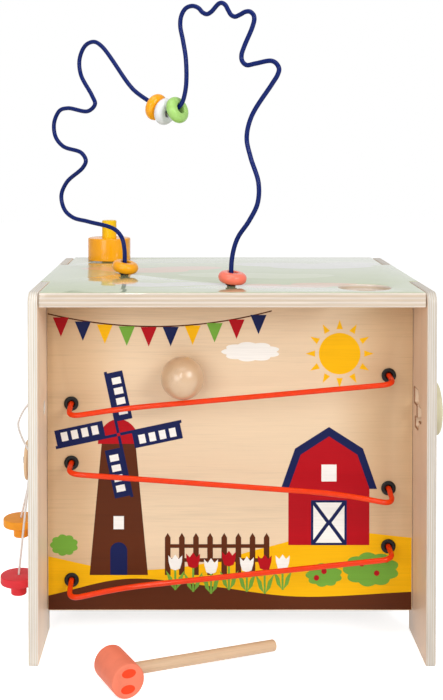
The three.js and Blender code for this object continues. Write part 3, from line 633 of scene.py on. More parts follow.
CORD_DIAMETER = 2.4
CORD_LAY = 0.006
CORD_LOBES = 3
CORD_LOBE_DEPTH = 0.14
CORD_STEP = 0.0008
CORD_WHEEL_RADIUS = 19.6
CORD_WHEEL_STEPS = 40
CORD_HOLE_DEPTH = 3.0
CORD_CLEAR = 0.9
LOOP_PANEL_GAP = 1.5
LOOP_STEPS = 12
# Out from the gap at the panel, and up from the floor
LOOP_POINTS = [(0, 258), (6, 252), (12, 243), (16, 232), (14, 222), (9, 211), (4, 203), (0, 199)]

pulley_axis = middle("pulley_wheel")
cord_cotton = cotton("cord_cotton", COTTON)


def catmull_rom(points, per_span):
    """A smooth curve through points, evenly eased by the square root of their distances."""
    made = []
    count = len(points)
    for i in range(count - 1):
        second, third = points[i], points[i + 1]
        first = points[i - 1] if i else 2 * second - third
        fourth = points[i + 2] if i + 2 < count else 2 * third - second
        before = sqrt((second - first).length)
        span = sqrt((third - second).length)
        after = sqrt((fourth - third).length)
        leave = (second - first) / before - (third - first) / (before + span) + (third - second) / span
        arrive = (third - second) / span - (fourth - second) / (span + after) + (fourth - third) / after
        leave *= span
        arrive *= span
        square = -3 * second + 3 * third - 2 * leave - arrive
        cube = 2 * second - 2 * third + leave + arrive
        for step in range(per_span):
            t = step / per_span
            made.append(second + leave * t + square * t ** 2 + cube * t ** 3)
    made.append(points[-1].copy())
    return made


def evenly(points, step):
    """The same line with points about one step apart."""
    made = [points[0]]
    for first, second in zip(points, points[1:]):
        parts = max(1, round((second - first).length / step))
        for part in range(1, parts + 1):
            made.append(first.lerp(second, part / parts))
    return made


def make_cord(name, route, body, node, other_body=None):
    """A cord along a route, on a body; when a second body is given, it is left in place on no body."""
    points = evenly(route, CORD_STEP)
    piece = sweep(name, points, CORD_DIAMETER / 2 * MM, CORD_SIDES, CORD_LOBES, CORD_LOBE_DEPTH, CORD_LAY)
    if other_body:
        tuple(route[0])
        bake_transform(piece)
        body = None
    dress(piece, body, node, "cord", cord_cotton)
    length = sum((second - first).length for first, second in zip(points, points[1:]))
    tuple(points[0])


def hanging_cord(colour_name, side):
    """From the wheel's tangent down into the hole in the top of a weight."""
    weight = colour_name + "_weight"
    top = pulley_axis + Vector((0, side * CORD_WHEEL_RADIUS * MM, 0))
    knot = middle(weight)
    knot.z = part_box(weight)[1].z - CORD_HOLE_DEPTH * MM
    mouth = knot + Vector((0, 0, (CORD_HOLE_DEPTH + CORD_CLEAR) * MM))
    route = [top, mouth, knot]
    body = colour_name + "_pull"
    make_cord("cord_to_" + weight, route, "case", colour_name + "_cord", body)


def wheel_cord():
    half_turn = []
    reach = CORD_WHEEL_RADIUS * MM
    for i in range(CORD_WHEEL_STEPS + 1):
        angle = pi * (1 - i / CORD_WHEEL_STEPS)
        half_turn.append(pulley_axis + Vector((0, reach * cos(angle), reach * sin(angle))))
    make_cord("cord_over_wheel", half_turn, "case", "pull_cord_bend")


def loop_cord():
    panel_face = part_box("left_side_panel")[0].x
    loop_y = middle("cord_loop").y
    route = []
    for out, height in LOOP_POINTS:
        route.append(Vector((panel_face - (LOOP_PANEL_GAP + out) * MM, loop_y, height * MM)))
    make_cord("cord_loop_at_hole", catmull_rom(route, LOOP_STEPS), "case", "cord_loop")


hanging_cord("red", -1)
hanging_cord("orange", 1)
wheel_cord()
loop_cord()

# Case

SIDES = ("left", "right")
LEG_DEPTH = 90
FOOT_ARCH_HEIGHT = 30
FOOT_ARCH_CORNER = 12
FOOT_CORNER = 4
SIDE_TOP_CORNER = 11
TOP_CORNER = 2.5
SMALL_CORNER = 2.0
SLOT_CORNER = 2.0
SLOT_CORNER_STEPS = 4
BOARD_EDGE = 1.4
PANEL_EDGE = 0.6
TOP_SIDE_GAP = 0.8
SEAT_GAP = 0.3
SHAFT_CLEARANCE = 1.0
RAIL_HOLE_DIAMETER = 10.6
STEM_HOLES = {"wire_grommet_left": 9.6, "wire_grommet_right": 9.6, "drum_post": 19}
LACING_HOLE = {"from_front": 52, "height": 249, "diameter": 14}
BALL_HOLE = {"side_gap": 56, "run_gap": 27.5, "diameter": 54}
# Each step of the slot: near and far from the front edge, and its upper and lower heights
SLOT_STEPS = [(43, 65, 268, 252), (29, 51, 252, 238), (43, 60, 238, 228)]
BOLTS = {
    "pulley": {"side": -1, "shank": 5, "head": 11, "head_height": 3, "socket": 4},
    "turn_disc": {"side": 1, "shank": 6, "head": 12, "head_height": 1.6, "socket": 4},
}
# The top board is glossier than the others
TOP_GLOSS = (1.0, 0.03, 0.2)
# Painted shade: the run panel's veneer is painted darker and warmer toward its two ends, where the side
# boards shade it, between these distances from its middle
PAINTED_SHADE_ENDS = (0.1, 0.16)
PAINTED_SHADE_TONE = (0.86, 0.77, 0.66, 1)

side_low, side_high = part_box("left_side_panel")
top_low, top_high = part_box("top_board")
front = side_low.y / MM
back = side_high.y / MM
case_height = side_high.z / MM
run_low, run_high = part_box("ball_run_panel")


def side_outline():
    notch = top_low.z / MM - SEAT_GAP
    arch_front = front + LEG_DEPTH
    arch_back = back - LEG_DEPTH
    return rounded([
        (front, 0, FOOT_CORNER), (arch_front, 0, SMALL_CORNER),
        (arch_front, FOOT_ARCH_HEIGHT, FOOT_ARCH_CORNER), (arch_back, FOOT_ARCH_HEIGHT, FOOT_ARCH_CORNER),
        (arch_back, 0, SMALL_CORNER), (back, 0, FOOT_CORNER),
        (back, case_height, SIDE_TOP_CORNER), (arch_back, case_height, SMALL_CORNER),
        (arch_back, notch, 0), (arch_front, notch, 0),
        (arch_front, case_height, SMALL_CORNER), (front, case_height, SIDE_TOP_CORNER),
    ], closed=True)


def slot_outline():
    backs = []
    fronts = []
    for near, far, upper, lower in SLOT_STEPS:
        backs += [(front + far, upper, SLOT_CORNER), (front + far, lower, SLOT_CORNER)]
        fronts = [(front + near, lower, SLOT_CORNER), (front + near, upper, SLOT_CORNER)] + fronts
    return rounded(backs + fronts, closed=True, steps=SLOT_CORNER_STEPS)


def bolt_hole(prefix):
    return circle(*(middle(prefix + "_bolt") / MM).yz, BOLTS[prefix]["shank"] + SHAFT_CLEARANCE)


def make_sides():
    lacing = circle(front + LACING_HOLE["from_front"], LACING_HOLE["height"], LACING_HOLE["diameter"])
    holes = {"left": [bolt_hole("pulley"), lacing], "right": [bolt_hole("turn_disc"), slot_outline()]}
    for side in SIDES:
        node = side + "_side_panel"
        loops = [side_outline()] + holes[side]
        materials = [board("side_plywood_" + side, node, "X", PLIES[side], SIDE_BIRCH_LIT_AND_SHADED[side], "Z")]
        slot_loop = None
        if side == "right":
            slot_loop = len(loops) - 1
            materials.append(scorched("slot_walls", node, "X"))
        piece = plate("side_board_" + side, node, "X", loops, BOARD_EDGE, slot_loop)
        dress(piece, "case", node, "plywood", *materials)


# Soft ovals of the top's print: centre from the board's middle and from its front edge, half widths,
# turn in degrees, colour
TOP_OVALS = [
    (-72, 62, 40, 14, 6, SOFT_WHITE), (-38, 70, 34, 12, -8, SOFT_WHITE), (-104, 72, 26, 10, 0, SOFT_WHITE),
    (62, 48, 44, 15, 4, SOFT_PINK), (104, 64, 40, 14, -6, SOFT_PINK), (30, 60, 24, 9, 8, SOFT_PINK),
    (116, 236, 62, 24, 5, SOFT_WHITE), (62, 256, 50, 22, -4, SOFT_WHITE), (150, 262, 40, 18, 0, SOFT_WHITE),
    (-96, 196, 52, 24, -6, SOFT_PINK), (-48, 216, 44, 20, 8, SOFT_PINK), (-140, 214, 32, 16, 0, SOFT_PINK),
    (14, 146, 70, 24, -6, PALE_MINT), (70, 138, 50, 20, 10, PALE_MINT),
]
OVAL_EDGE = (1.02, 0.98)
# So large that height counts for nothing in the ovals
FAR_DEPTH = 1e6


def top_print(surface, veneer):
    """Mint with soft ovals on the upper face, bare veneer below."""
    place = surface.place()
    tone = surface.tinted(surface.noise(place, 26.0, 3.0), MINT, (0.3, 0.97), (0.7, 1.03))
    for x, y, half_long, half_short, turn, oval_tone in TOP_OVALS:
        from_centre = surface.node("Mapping", {
            "Vector": place, "Location": (middle("top_board").x + x * MM, side_low.y + y * MM, 0),
            "Rotation": (0, 0, radians(turn)), "Scale": (half_long * MM, half_short * MM, FAR_DEPTH),
        }, vector_type="TEXTURE")["Vector"]
        reach = surface.node("VectorMath", {0: from_centre}, operation="LENGTH")["Value"]
        tone = surface.mix(surface.soft_step(reach, *OVAL_EDGE), tone, oval_tone)
    return surface.mix(surface.facing_share("Z", signed=True), veneer, tone)


def make_top():
    inner_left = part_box("left_side_panel")[1].x / MM
    inner_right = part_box("right_side_panel")[0].x / MM
    body_left = inner_left + TOP_SIDE_GAP
    body_right = inner_right - TOP_SIDE_GAP
    left, right = top_low.x / MM, top_high.x / MM
    tab_front = front + LEG_DEPTH + TOP_SIDE_GAP
    tab_back = back - LEG_DEPTH - TOP_SIDE_GAP
    loops = [rounded([
        (body_left, front, TOP_CORNER), (body_right, front, TOP_CORNER), (body_right, tab_front, 0),
        (right, tab_front, SMALL_CORNER), (right, tab_back, SMALL_CORNER), (body_right, tab_back, 0),
        (body_right, back, TOP_CORNER), (body_left, back, TOP_CORNER), (body_left, tab_back, 0),
        (left, tab_back, SMALL_CORNER), (left, tab_front, SMALL_CORNER), (body_left, tab_front, 0),
    ], closed=True)]
    hole_x = inner_right - BALL_HOLE["side_gap"]
    hole_y = run_low.y / MM - BALL_HOLE["run_gap"]
    loops.append(circle(hole_x, hole_y, BALL_HOLE["diameter"], LATHE_SIDES))
    loops += [circle(*(middle(node) / MM).xy, diameter) for node, diameter in STEM_HOLES.items()]
    piece = plate("top_board_printed", "top_board", "Z", loops, BOARD_EDGE)
    material = board("top_plywood", "top_board", "Z", PLIES["top"], BIRCH, "X", top_print, TOP_GLOSS)
    dress(piece, "case", "top_board", "top_print", material)


# Painted shade: darkens and warms the run panel's veneer toward its two ends, where the side boards shade it
def painted_end_shade(surface, veneer):
    along = surface.axis_of(surface.place(), "X")
    from_middle = surface.maths("ABSOLUTE", surface.maths("SUBTRACT", along, middle("ball_run_panel").x))
    return surface.mix(surface.soft_step(from_middle, *PAINTED_SHADE_ENDS), veneer, PAINTED_SHADE_TONE, "MULTIPLY")


def make_cross_panel(node, name, slot, grommets=(), face=None):
    low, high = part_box(node)
    outline = box_outline(low.x / MM, high.x / MM, low.z / MM, high.z / MM)
    loops = [rounded([(x, z, SMALL_CORNER) for x, z in outline], closed=True)]
    loops += [circle(*(middle(grommet) / MM).xz, RAIL_HOLE_DIAMETER) for grommet in grommets]
    piece = plate(name, node, "Y", loops, PANEL_EDGE)
    plywood = board(name + "_plywood", node, "Y", PLIES["cross"], PANEL_BIRCH, "X", face)
    dress(piece, "case", node, slot, plywood)


# Print on the ball run panel: a mill, a barn and a fence in a field, with bunting and a sun over them.
# Places are across from the panel's middle and up from the floor. Later inks lie over earlier ones.

PRINT_LAYER = 0.03
PRINT_FOOT = 29
PRINT_STEPS = 8
INK_HOLE_DIAMETER = 11
FIELD_EDGE = [(-192.8, 86), (-120, 72), (-40, 76), (40, 96), (110, 112), (192.8, 106)]
EARTH_EDGE = [(-192.8, 44), (-110, 62), (-20, 54), (70, 43), (192.8, 48)]
# Across, up, half width and half height
SHRUBS = [(150, 72, 26, 16), (100, 66, 17, 11), (-176, 98, 13, 10)]
CLOUD = (22, 304, 27, 9)
PUFFS = 9
PUFF_DEPTH = 0.16
BERRIES = [(140, 78), (156, 68), (166, 82), (100, 70), (92, 63)]
BERRY_DIAMETER = 6
BERRY_SIDES = 16
MILL_HUB = (-118, 216)
MILL_EAVES = 206
# Half widths of the tower at its foot and eaves, the cap's diameter and stretch, and the door's half width
# and shoulder
MILL_TOWER = (31, 18)
MILL_CAP = (44, 1.2)
MILL_DOOR = (9, 92)
MILL_WINDOW = (-5.5, 5.5, 115, 129)
# Boxes of a sail, along it and across it
SAIL_ARM = (1.7, 68, -1.6, 1.6)
SAIL_FRAME = (14, 66, -18, -1.6)
SAIL_PANES = [(along, along + 7, -14.5, -5) for along in (20, 31, 42, 53)]
SAIL_ANGLES = [radians(12 + 90 * i) for i in range(4)]
FENCE_FOOT = 66
PICKETS = [-66 + 15 * i for i in range(8)]
PICKET_HALF = 3
PICKET_SHOULDER = 106
PICKET_TIP = 111
FENCE_RAILS = [(80, 84), (95, 99)]
# Across, up to the foot, and the stem's length
TULIPS = [(-58 + 19 * i, 50 - 2 * (i % 3), 27 + 4 * (i % 2)) for i in range(7)]
STEM_HALF = 1.1
LEAF = [(1.1, 1), (6, 6), (10, 21), (3.4, 13)]
CUP = [(0, -6), (5, -4), (7, 3), (7.5, 10), (3.6, 6), (0, 11), (-3.6, 6), (-7.5, 10), (-7, 3), (-5, -4)]
BUNTING_ENDS = (Vector((-192.8, 345)), Vector((44, 348)))
BUNTING_SAG = 15
BUNTING_STEPS = 24
STRING_WIDTH = 1.4
FLAGS = ["red", "navy", "yellow", "green"]
FLAG_COUNT = 10
FLAG_HALF = 8.5
FLAG_DROP = 22
SUN = (116, 302)
SUN_DIAMETER = 44
SUN_SIDES = 48
SUN_RAYS = 12
RAY = [(26, -3.4), (26, 3.4), (36, 0)]
INKS = {
    "yellow": colour(240, 180, 0), "brown": colour(84, 36, 8), "green": colour(112, 164, 58),
    "red": colour(172, 4, 20), "navy": colour(12, 22, 72), "white": colour(238, 236, 230),
}


def ground(edge):
    line = [(point.x, point.y) for point in catmull_rom([Vector(point) for point in edge], PRINT_STEPS)]
    return [(edge[0][0], PRINT_FOOT)] + line + [(edge[-1][0], PRINT_FOOT)]


def turned_outline(outline, centre, angle):
    """An outline drawn along +X, turned about the origin and moved to a centre."""
    turn = Matrix.Rotation(angle, 2)
    spots = [turn @ Vector(point) + Vector(centre) for point in outline]
    return [(spot.x, spot.y) for spot in spots]


def half_round(a, low, diameter, stretch=1.0):
    return [(a + x, low + stretch * y) for x, y in circle(0, 0, diameter) if y > -SAME_SPOT]


def bumpy(a, b, half_wide, half_high):
    """A round outline with a scalloped rim, as of a shrub or a cloud."""
    points = []
    steps = PUFFS * PRINT_STEPS
    for step in range(steps):
        angle = 2 * pi * step / steps
        reach = 1 + PUFF_DEPTH * abs(sin(PUFFS * angle / 2))
        points.append((a + half_wide * reach * cos(angle), b + half_high * reach * sin(angle)))
    return points


def draw_field():
    yield "yellow", ground(FIELD_EDGE)
    yield "brown", ground(EARTH_EDGE)
    for shrub in SHRUBS:
        yield "green", bumpy(*shrub)
    for berry in BERRIES:
        yield "red", circle(*berry, BERRY_DIAMETER, BERRY_SIDES)


def draw_mill():
    a = MILL_HUB[0]
    foot, top = MILL_TOWER
    door, shoulder = MILL_DOOR
    left, right, sill, lintel = MILL_WINDOW
    eaves = [(a + top, MILL_EAVES), (a - top, MILL_EAVES)]
    yield "brown", [(a - foot, FENCE_FOOT), (a + foot, FENCE_FOOT)] + eaves
    yield "red", half_round(a, MILL_EAVES, *MILL_CAP)
    yield "navy", half_round(a, shoulder, 2 * door) + [(a - door, FENCE_FOOT), (a + door, FENCE_FOOT)]
    yield "white", box_outline(a + left, a + right, sill, lintel)
    for angle in SAIL_ANGLES:
        for ink, boxes in (("navy", [SAIL_ARM, SAIL_FRAME]), ("white", SAIL_PANES)):
            for box in boxes:
                yield ink, turned_outline(box_outline(*box), MILL_HUB, angle)


def draw_barn():
    yield "red", [(62, 98), (148, 98), (148, 162), (136, 195), (105, 214), (74, 195), (62, 162)]
    yield "navy", [
        (54, 158), (69, 201), (105, 224), (141, 201), (156, 158), (148, 158), (135, 194.5), (105, 214),
        (75, 194.5), (62, 158),
    ]
    yield "navy", box_outline(86, 124, 98, 146)
    yield "white", [(91, 143.5), (119, 143.5), (105, 124.5)]
    yield "white", [(91, 100.5), (119, 100.5), (105, 119.5)]
    yield "white", [(88.5, 103.5), (88.5, 140.5), (102.2, 122)]
    yield "white", [(121.5, 103.5), (121.5, 140.5), (107.8, 122)]
    yield "white", box_outline(97, 113, 166, 184)


def draw_fence():
    for a in PICKETS:
        left, right = a - PICKET_HALF, a + PICKET_HALF
        top = [(right, PICKET_SHOULDER), (a, PICKET_TIP), (left, PICKET_SHOULDER)]
        yield "brown", [(left, FENCE_FOOT), (right, FENCE_FOOT)] + top
    for a, following in zip(PICKETS, PICKETS[1:]):
        for rail in FENCE_RAILS:
            yield "brown", box_outline(a + PICKET_HALF, following - PICKET_HALF, *rail)


def draw_tulips():
    for i, (a, foot, stem) in enumerate(TULIPS):
        head = foot + stem
        yield "green", box_outline(a - STEM_HALF, a + STEM_HALF, foot, head)
        for side in (-1, 1):
            yield "green", [(a + side * out, foot + up) for out, up in LEAF]
        yield "red" if i % 2 else "white", [(a + out, head + up) for out, up in CUP]


def draw_bunting():
    def string(share):
        spot = BUNTING_ENDS[0].lerp(BUNTING_ENDS[1], share)
        return spot.x, spot.y - 4 * BUNTING_SAG * share * (1 - share)

    line = [string(step / BUNTING_STEPS) for step in range(BUNTING_STEPS + 1)]
    yield "brown", line + [(a, b - STRING_WIDTH) for a, b in reversed(line)]
    for i in range(FLAG_COUNT):
        a, b = string((i + 0.6) / (FLAG_COUNT + 0.2))
        under = b - STRING_WIDTH
        yield FLAGS[i % len(FLAGS)], [(a - FLAG_HALF, under), (a + FLAG_HALF, under), (a, b - FLAG_DROP)]


def draw_sky():
    yield "yellow", circle(*SUN, SUN_DIAMETER, SUN_SIDES)
    for i in range(SUN_RAYS):
        yield "yellow", turned_outline(RAY, SUN, 2 * pi * i / SUN_RAYS)
    yield "white", bumpy(*CLOUD)


def make_panel_print():
    place = at(middle("ball_run_panel").x, run_low.y, 0) @ PLANES["Y"]
    drawn = {ink: [] for ink in INKS}
    for draw in (draw_field, draw_mill, draw_barn, draw_fence, draw_tulips, draw_bunting, draw_sky):
        for ink, outline in draw():
            drawn[ink].append(outline)
    for layer, (ink, tone) in enumerate(INKS.items(), 1):
        piece = prism("panel_ink_" + ink, drawn[ink], PRINT_LAYER * layer, place)
        if ink == "yellow":
            holes = []
            for side in SIDES:
                centre = middle("rail_grommet_lower_" + side)
                hole_place = at(centre.x, run_low.y + CUT_PAST * MM, centre.z) @ PLANES["Y"]
                hole = circle(0, 0, INK_HOLE_DIAMETER)
                holes.append(prism("grommet_hole", [hole], 2 * CUT_PAST, hole_place))
            carve(piece, holes)
        dress(piece, "case", None, "panel_print", printed("ink_" + ink, tone))


# Screws

SCREW_HEAD_RADIUS = 4
SCREW_HEAD_HEIGHT = 2.2
SCREW_SHANK_RADIUS = 1.75
SCREW_LENGTH = 30
SCREW_POINT = 3
# The slope round a screw head's top: how far down and how far in
SCREW_SLOPE = (1.2, 1.6)
RECESS_LONG = 4.6
RECESS_WIDE = 1.0
RECESS_DEEP = 1.3

steel = plated("zinc_plate", STEEL)


def make_screws():
    head = SCREW_HEAD_RADIUS
    top = SEAT_GAP + SCREW_HEAD_HEIGHT
    slope_down, slope_in = SCREW_SLOPE
    corners = [
        (0, -SCREW_LENGTH, 0), (SCREW_SHANK_RADIUS, SCREW_POINT - SCREW_LENGTH, 0),
        (SCREW_SHANK_RADIUS, SEAT_GAP, 0), (head, SEAT_GAP, 0.3), (head, top - slope_down, 0.6),
        (head - slope_in, top, 0.8), (0, top, 0),
    ]
    bar = box_outline(-RECESS_LONG / 2, RECESS_LONG / 2, -RECESS_WIDE / 2, RECESS_WIDE / 2)
    lift = at(0, 0, (top - RECESS_DEEP) * MM)
    for node in [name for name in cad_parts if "_screw_" in name]:
        left = "_left_" in node
        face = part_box("left_side_panel")[0].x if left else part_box("right_side_panel")[1].x
        centre = middle(node)
        place = at(face, centre.y, centre.z, (-1 if left else 1, 0, 0))
        piece = lathe(node.replace("_screw_", "_woodscrew_"), corners, SMALL_SIDES, place)
        cutters = []
        for turn in (0, pi / 2):
            bar_place = place @ lift @ Matrix.Rotation(turn, 4, "Z")
            cutters.append(prism("recess", [bar], RECESS_DEEP + CUT_PAST, bar_place))
        carve(piece, cutters)
        dress(piece, "case", node, "steel", steel)


# Ball run

RAIL_DIAMETER = 5.5
RAIL_COAT = 0.35
RAIL_BEND = 14
RAIL_KNEE_BEND = 30
RAIL_ENTRY_BEND = 2
RAIL_STAND_OFF = 32
BEND_STEPS = 14
# Heights over the left end, of the left and right front corners, and the knee: its side, inset and height
RAIL_SHAPES = {
    "upper": {"corners": (-6.3, 27.5), "knee": (-1, 58, 2.4)},
    "middle": {"corners": (-2.5, -34), "knee": (1, 58, -23)},
    "lower": {"corners": (-8, 34), "knee": (-1, 56, 4.4)},
}
RAIL_ENDS = [f"{rail}_{side}" for rail in RAIL_SHAPES for side in SIDES]
RAIL_GROMMET = {"flange": 7.7, "rim": 1.8, "stem": 5.0, "depth": 6.0}
WIRE_GROMMET = {"flange": 6.0, "rim": 2.0, "stem": 4.5, "depth": 12.0}
# A grommet's mouth opens so far out and so far down. Its flange is rounded by a share of the rim
GROMMET_MOUTH = (1.1, 1.3)
GROMMET_ROUNDING = 0.7
RAIL_NUT = {"outer": 6.5, "height": 3.5}
WIRE_NUT = {"outer": 6.0, "height": 4.0}
NUT_GRIP = 0.1
NUT_COLLAR = 0.9
# A push nut's crown: in from the rim and up at its foot, and in from the rim at its top
NUT_CROWN_FOOT = (1.6, 1.1)
NUT_CROWN_INSET = 2.6
BALL_DIAMETER = 45
BALL_FLAT = 5.0
BALL_BANDS = 48
# The way that the ball's grain runs
BALL_POLE = (0.5, 0.3, 0.8)

black_rubber = rubber("black_rubber", BLACK)


def bent_line(corners):
    """Straight stretches through corners (spot, millimetres of bend), with a soft bend at each inner one."""
    spots = [Vector(spot) for spot, bend in corners]
    points = spots[:1]
    for before, corner, after, (_, bend) in zip(spots, spots[1:], spots[2:], corners[1:]):
        start = corner + (before - corner).normalized() * bend * MM
        end = corner + (after - corner).normalized() * bend * MM
        for step in range(BEND_STEPS + 1):
            t = step / BEND_STEPS
            points.append(start.lerp(corner, t).lerp(corner.lerp(end, t), t))
    return points + spots[-1:]


def make_rails():
    orange = coated_wire("rail_orange", RAIL_ORANGE, RAIL_COAT)
    rail_y = run_low.y - RAIL_STAND_OFF * MM
    entry_y = run_low.y - (RAIL_GROMMET["rim"] + SEAT_GAP + RAIL_ENTRY_BEND) * MM
    for rail, shape in RAIL_SHAPES.items():
        node = "ball_rail_" + rail
        tail_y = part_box(node)[1].y
        left, right = (middle(f"rail_grommet_{rail}_{side}") for side in SIDES)
        stretches = []
        for end, height in zip((left, right), shape["corners"]):
            stretches.append([
                ((end.x, tail_y, end.z), 0), ((end.x, entry_y, end.z), RAIL_ENTRY_BEND),
                ((end.x, rail_y, left.z + height * MM), RAIL_BEND),
            ])
        knee_side, knee_inset, knee_height = shape["knee"]
        knee_x = (left.x if knee_side < 0 else right.x) - knee_side * knee_inset * MM
        knee = ((knee_x, rail_y, left.z + knee_height * MM), RAIL_KNEE_BEND)
        points = bent_line(stretches[0] + [knee] + stretches[1][::-1])
        piece = sweep("rail_wire_" + rail, points, RAIL_DIAMETER / 2 * MM)
        dress(piece, "case", node, "rail_paint", orange)


def make_grommet(name, node, place, wire_diameter, flange, rim, stem, depth):
    """A rubber ring whose stem goes into a board."""
    bore = wire_diameter / 2 + SEAT_GAP
    top = SEAT_GAP + rim
    mouth_out, mouth_down = GROMMET_MOUTH
    piece = lathe(name, [
        (bore, -depth, 0), (stem, -depth, 0.4), (stem, SEAT_GAP, 0), (flange, SEAT_GAP, 0.3),
        (flange, top, rim * GROMMET_ROUNDING), (bore + mouth_out, top, 0.5), (bore, top - mouth_down, 0.4),
        (bore, -depth, 0),
    ], SMALL_SIDES, place)
    dress(piece, "case", node, "black_rubber", black_rubber)


def make_push_nut(name, node, place, wire_diameter, outer, height):
    """A pressed cap nut: a flat collar with a raised crown that grips the wire."""
    bore = wire_diameter / 2 + NUT_GRIP
    foot_in, foot_up = NUT_CROWN_FOOT
    piece = lathe(name, [
        (bore, 0, 0), (outer, 0, 0.3), (outer, NUT_COLLAR, 0.3), (outer - foot_in, foot_up, 0.4),
        (outer - NUT_CROWN_INSET, height, 0.6), (bore, height, 0.2), (bore, 0, 0),
    ], SMALL_SIDES, place)
    dress(piece, "case", node, "steel", steel)


def make_rail_fittings():
    for end in RAIL_ENDS:
        centre = middle("rail_grommet_" + end)
        place = at(centre.x, run_low.y, centre.z, (0, -1, 0))
        make_grommet("grommet_" + end, "rail_grommet_" + end, place, RAIL_DIAMETER, **RAIL_GROMMET)
        place = at(centre.x, run_high.y + SEAT_GAP * MM, centre.z, (0, 1, 0))
        make_push_nut("push_nut_" + end, "rail_nut_" + end, place, RAIL_DIAMETER, **RAIL_NUT)


def make_ball():
    """A turned ball: round, with the small flats that turning leaves at its two poles."""
    radius = BALL_DIAMETER / 2
    flat = asin(BALL_FLAT / 2 / radius)
    corners = [(0, -radius * cos(flat), 0)]
    for band in range(BALL_BANDS + 1):
        angle = flat + (pi - 2 * flat) * band / BALL_BANDS
        corners.append((radius * sin(angle), -radius * cos(angle), 0))
    corners.append((0, radius * cos(flat), 0))
    piece = lathe("turned_ball", corners, LATHE_SIDES, at(*middle("wooden_ball"), BALL_POLE))
    dress(piece, "ball", "wooden_ball", "bare_wood", wood("ball_wood", BALL_WOOD, "Z", 0.08, 0.3, 0.8))


# Bead maze

MAZE_TURN = Matrix.Rotation(radians(-39.1), 4, "Z")
WIRE_DIAMETER = 5
WIRE_COAT = 0.18
WIRE_TAIL = 21
WIRE_SPAN_STEPS = 12
# Keeps the smooth wire within its solid
WIRE_INSET = 0.03
# Points along the outline from the left foot to the right foot: distance from the left foot, height
WIRE_POINTS = [
    (0, 0), (0, 28), (-4, 41), (-15, 50), (-57, 57), (-83, 61), (-97, 70), (-102, 86), (-93, 102),
    (-66, 120), (-61, 128), (-68, 137), (-99, 145), (-112, 157), (-114, 173), (-105, 187), (-91, 190),
    (-57, 186), (-46, 194), (-51, 204), (-69, 229), (-71, 247), (-62, 262), (-48, 266), (-35, 260),
    (7, 215), (18, 206), (49, 190), (68, 184), (83, 190), (90, 207), (90.5, 238), (86.5, 259), (82.5, 276),
    (84, 286.5), (90, 294), (99.5, 296), (108, 293), (113.5, 288), (119.5, 285.8), (125.5, 288), (131.5, 293),
    (135.5, 295.7), (139.5, 296.1), (144, 293.5), (148, 287.5), (151.5, 282.8), (156.5, 280.5), (163, 282),
    (170, 284.5), (176, 284.2), (180.5, 280.5), (181.5, 276), (179, 268), (168.5, 248.5), (165.2, 240),
    (166, 234), (171.5, 229.5), (183, 230.5), (203, 232.3), (209.5, 229), (212.5, 223.5), (210.5, 217.5),
    (204, 209), (178, 176), (172, 154), (177, 134), (187, 108), (186, 87), (175, 68), (160, 49), (153, 28),
    (152, 0),
]
BEAD_RADIUS = 15
BEAD_HOLE_RADIUS = 5.5
BEAD_HOLE_EDGE = 1.6
BEAD_THICKNESS = 12
BEAD_RIM_FLAT = 0.1
BEAD_ROUND_STEPS = 12
# Each bead: its body, slot and colour, and by how many degrees its axis leans in the plane of the wire
BEADS = {
    "foot_bead_orange": ("left_foot_bead", "orange_paint", ORANGE, 12),
    "foot_bead_coral": ("right_foot_bead", "coral_paint", CORAL, 8),
    "valley_bead_orange": ("orange_bead", "orange_paint", ORANGE, 90 + 18.1),
    "valley_bead_white": ("white_bead", "white_paint", WHITE, 90 + 13.8),
    "valley_bead_green": ("green_bead", "green_paint", GREEN, 90 - 19.8),
}


def make_wire():
    left_foot = middle("wire_grommet_left")
    maze_place = at(left_foot.x, left_foot.y, top_high.z) @ MAZE_TURN
    outline = [(0, -WIRE_TAIL)] + WIRE_POINTS + [(WIRE_POINTS[-1][0], -WIRE_TAIL)]
    route = [maze_place @ (Vector((along, 0, height)) * MM) for along, height in outline]
    piece = sweep("maze_wire", catmull_rom(route, WIRE_SPAN_STEPS), (WIRE_DIAMETER / 2 - WIRE_INSET) * MM)
    dress(piece, "case", "bead_wire", "wire_paint", coated_wire("wire_navy", NAVY, WIRE_COAT))
    for side in SIDES:
        foot = middle("wire_grommet_" + side)
        place = at(foot.x, foot.y, top_high.z)
        make_grommet("maze_grommet_" + side, "wire_grommet_" + side, place, WIRE_DIAMETER, **WIRE_GROMMET)
        place = at(foot.x, foot.y, top_low.z - SEAT_GAP * MM, (0, 0, -1))
        make_push_nut("maze_push_nut_" + side, "wire_nut_" + side, place, WIRE_DIAMETER, **WIRE_NUT)


def make_beads():
    """Drilled discs with half-round rims."""
    half = BEAD_THICKNESS / 2
    rim = half - BEAD_RIM_FLAT / 2
    corners = [
        (BEAD_HOLE_RADIUS, 0, 0), (BEAD_HOLE_RADIUS, -half, BEAD_HOLE_EDGE), (BEAD_RADIUS, -half, rim),
        (BEAD_RADIUS, half, rim), (BEAD_HOLE_RADIUS, half, BEAD_HOLE_EDGE), (BEAD_HOLE_RADIUS, 0, 0),
    ]
    for node, (body, slot, tone, lean) in BEADS.items():
        place = at(*middle(node)) @ MAZE_TURN @ Matrix.Rotation(radians(lean), 4, "Y")
        piece = lathe(node.replace("_bead_", "_ring_"), corners, LATHE_SIDES, place, BEAD_ROUND_STEPS)
        dress(piece, body, node, slot, painted(node + "_paint", tone))


# Turning drum and post. The edges are the roundings at the bottom, at the top and at the bore.

DRUM_EDGES = (0.4, 1.8, 0.8)
POST_EDGES = (0.5, 1.4)


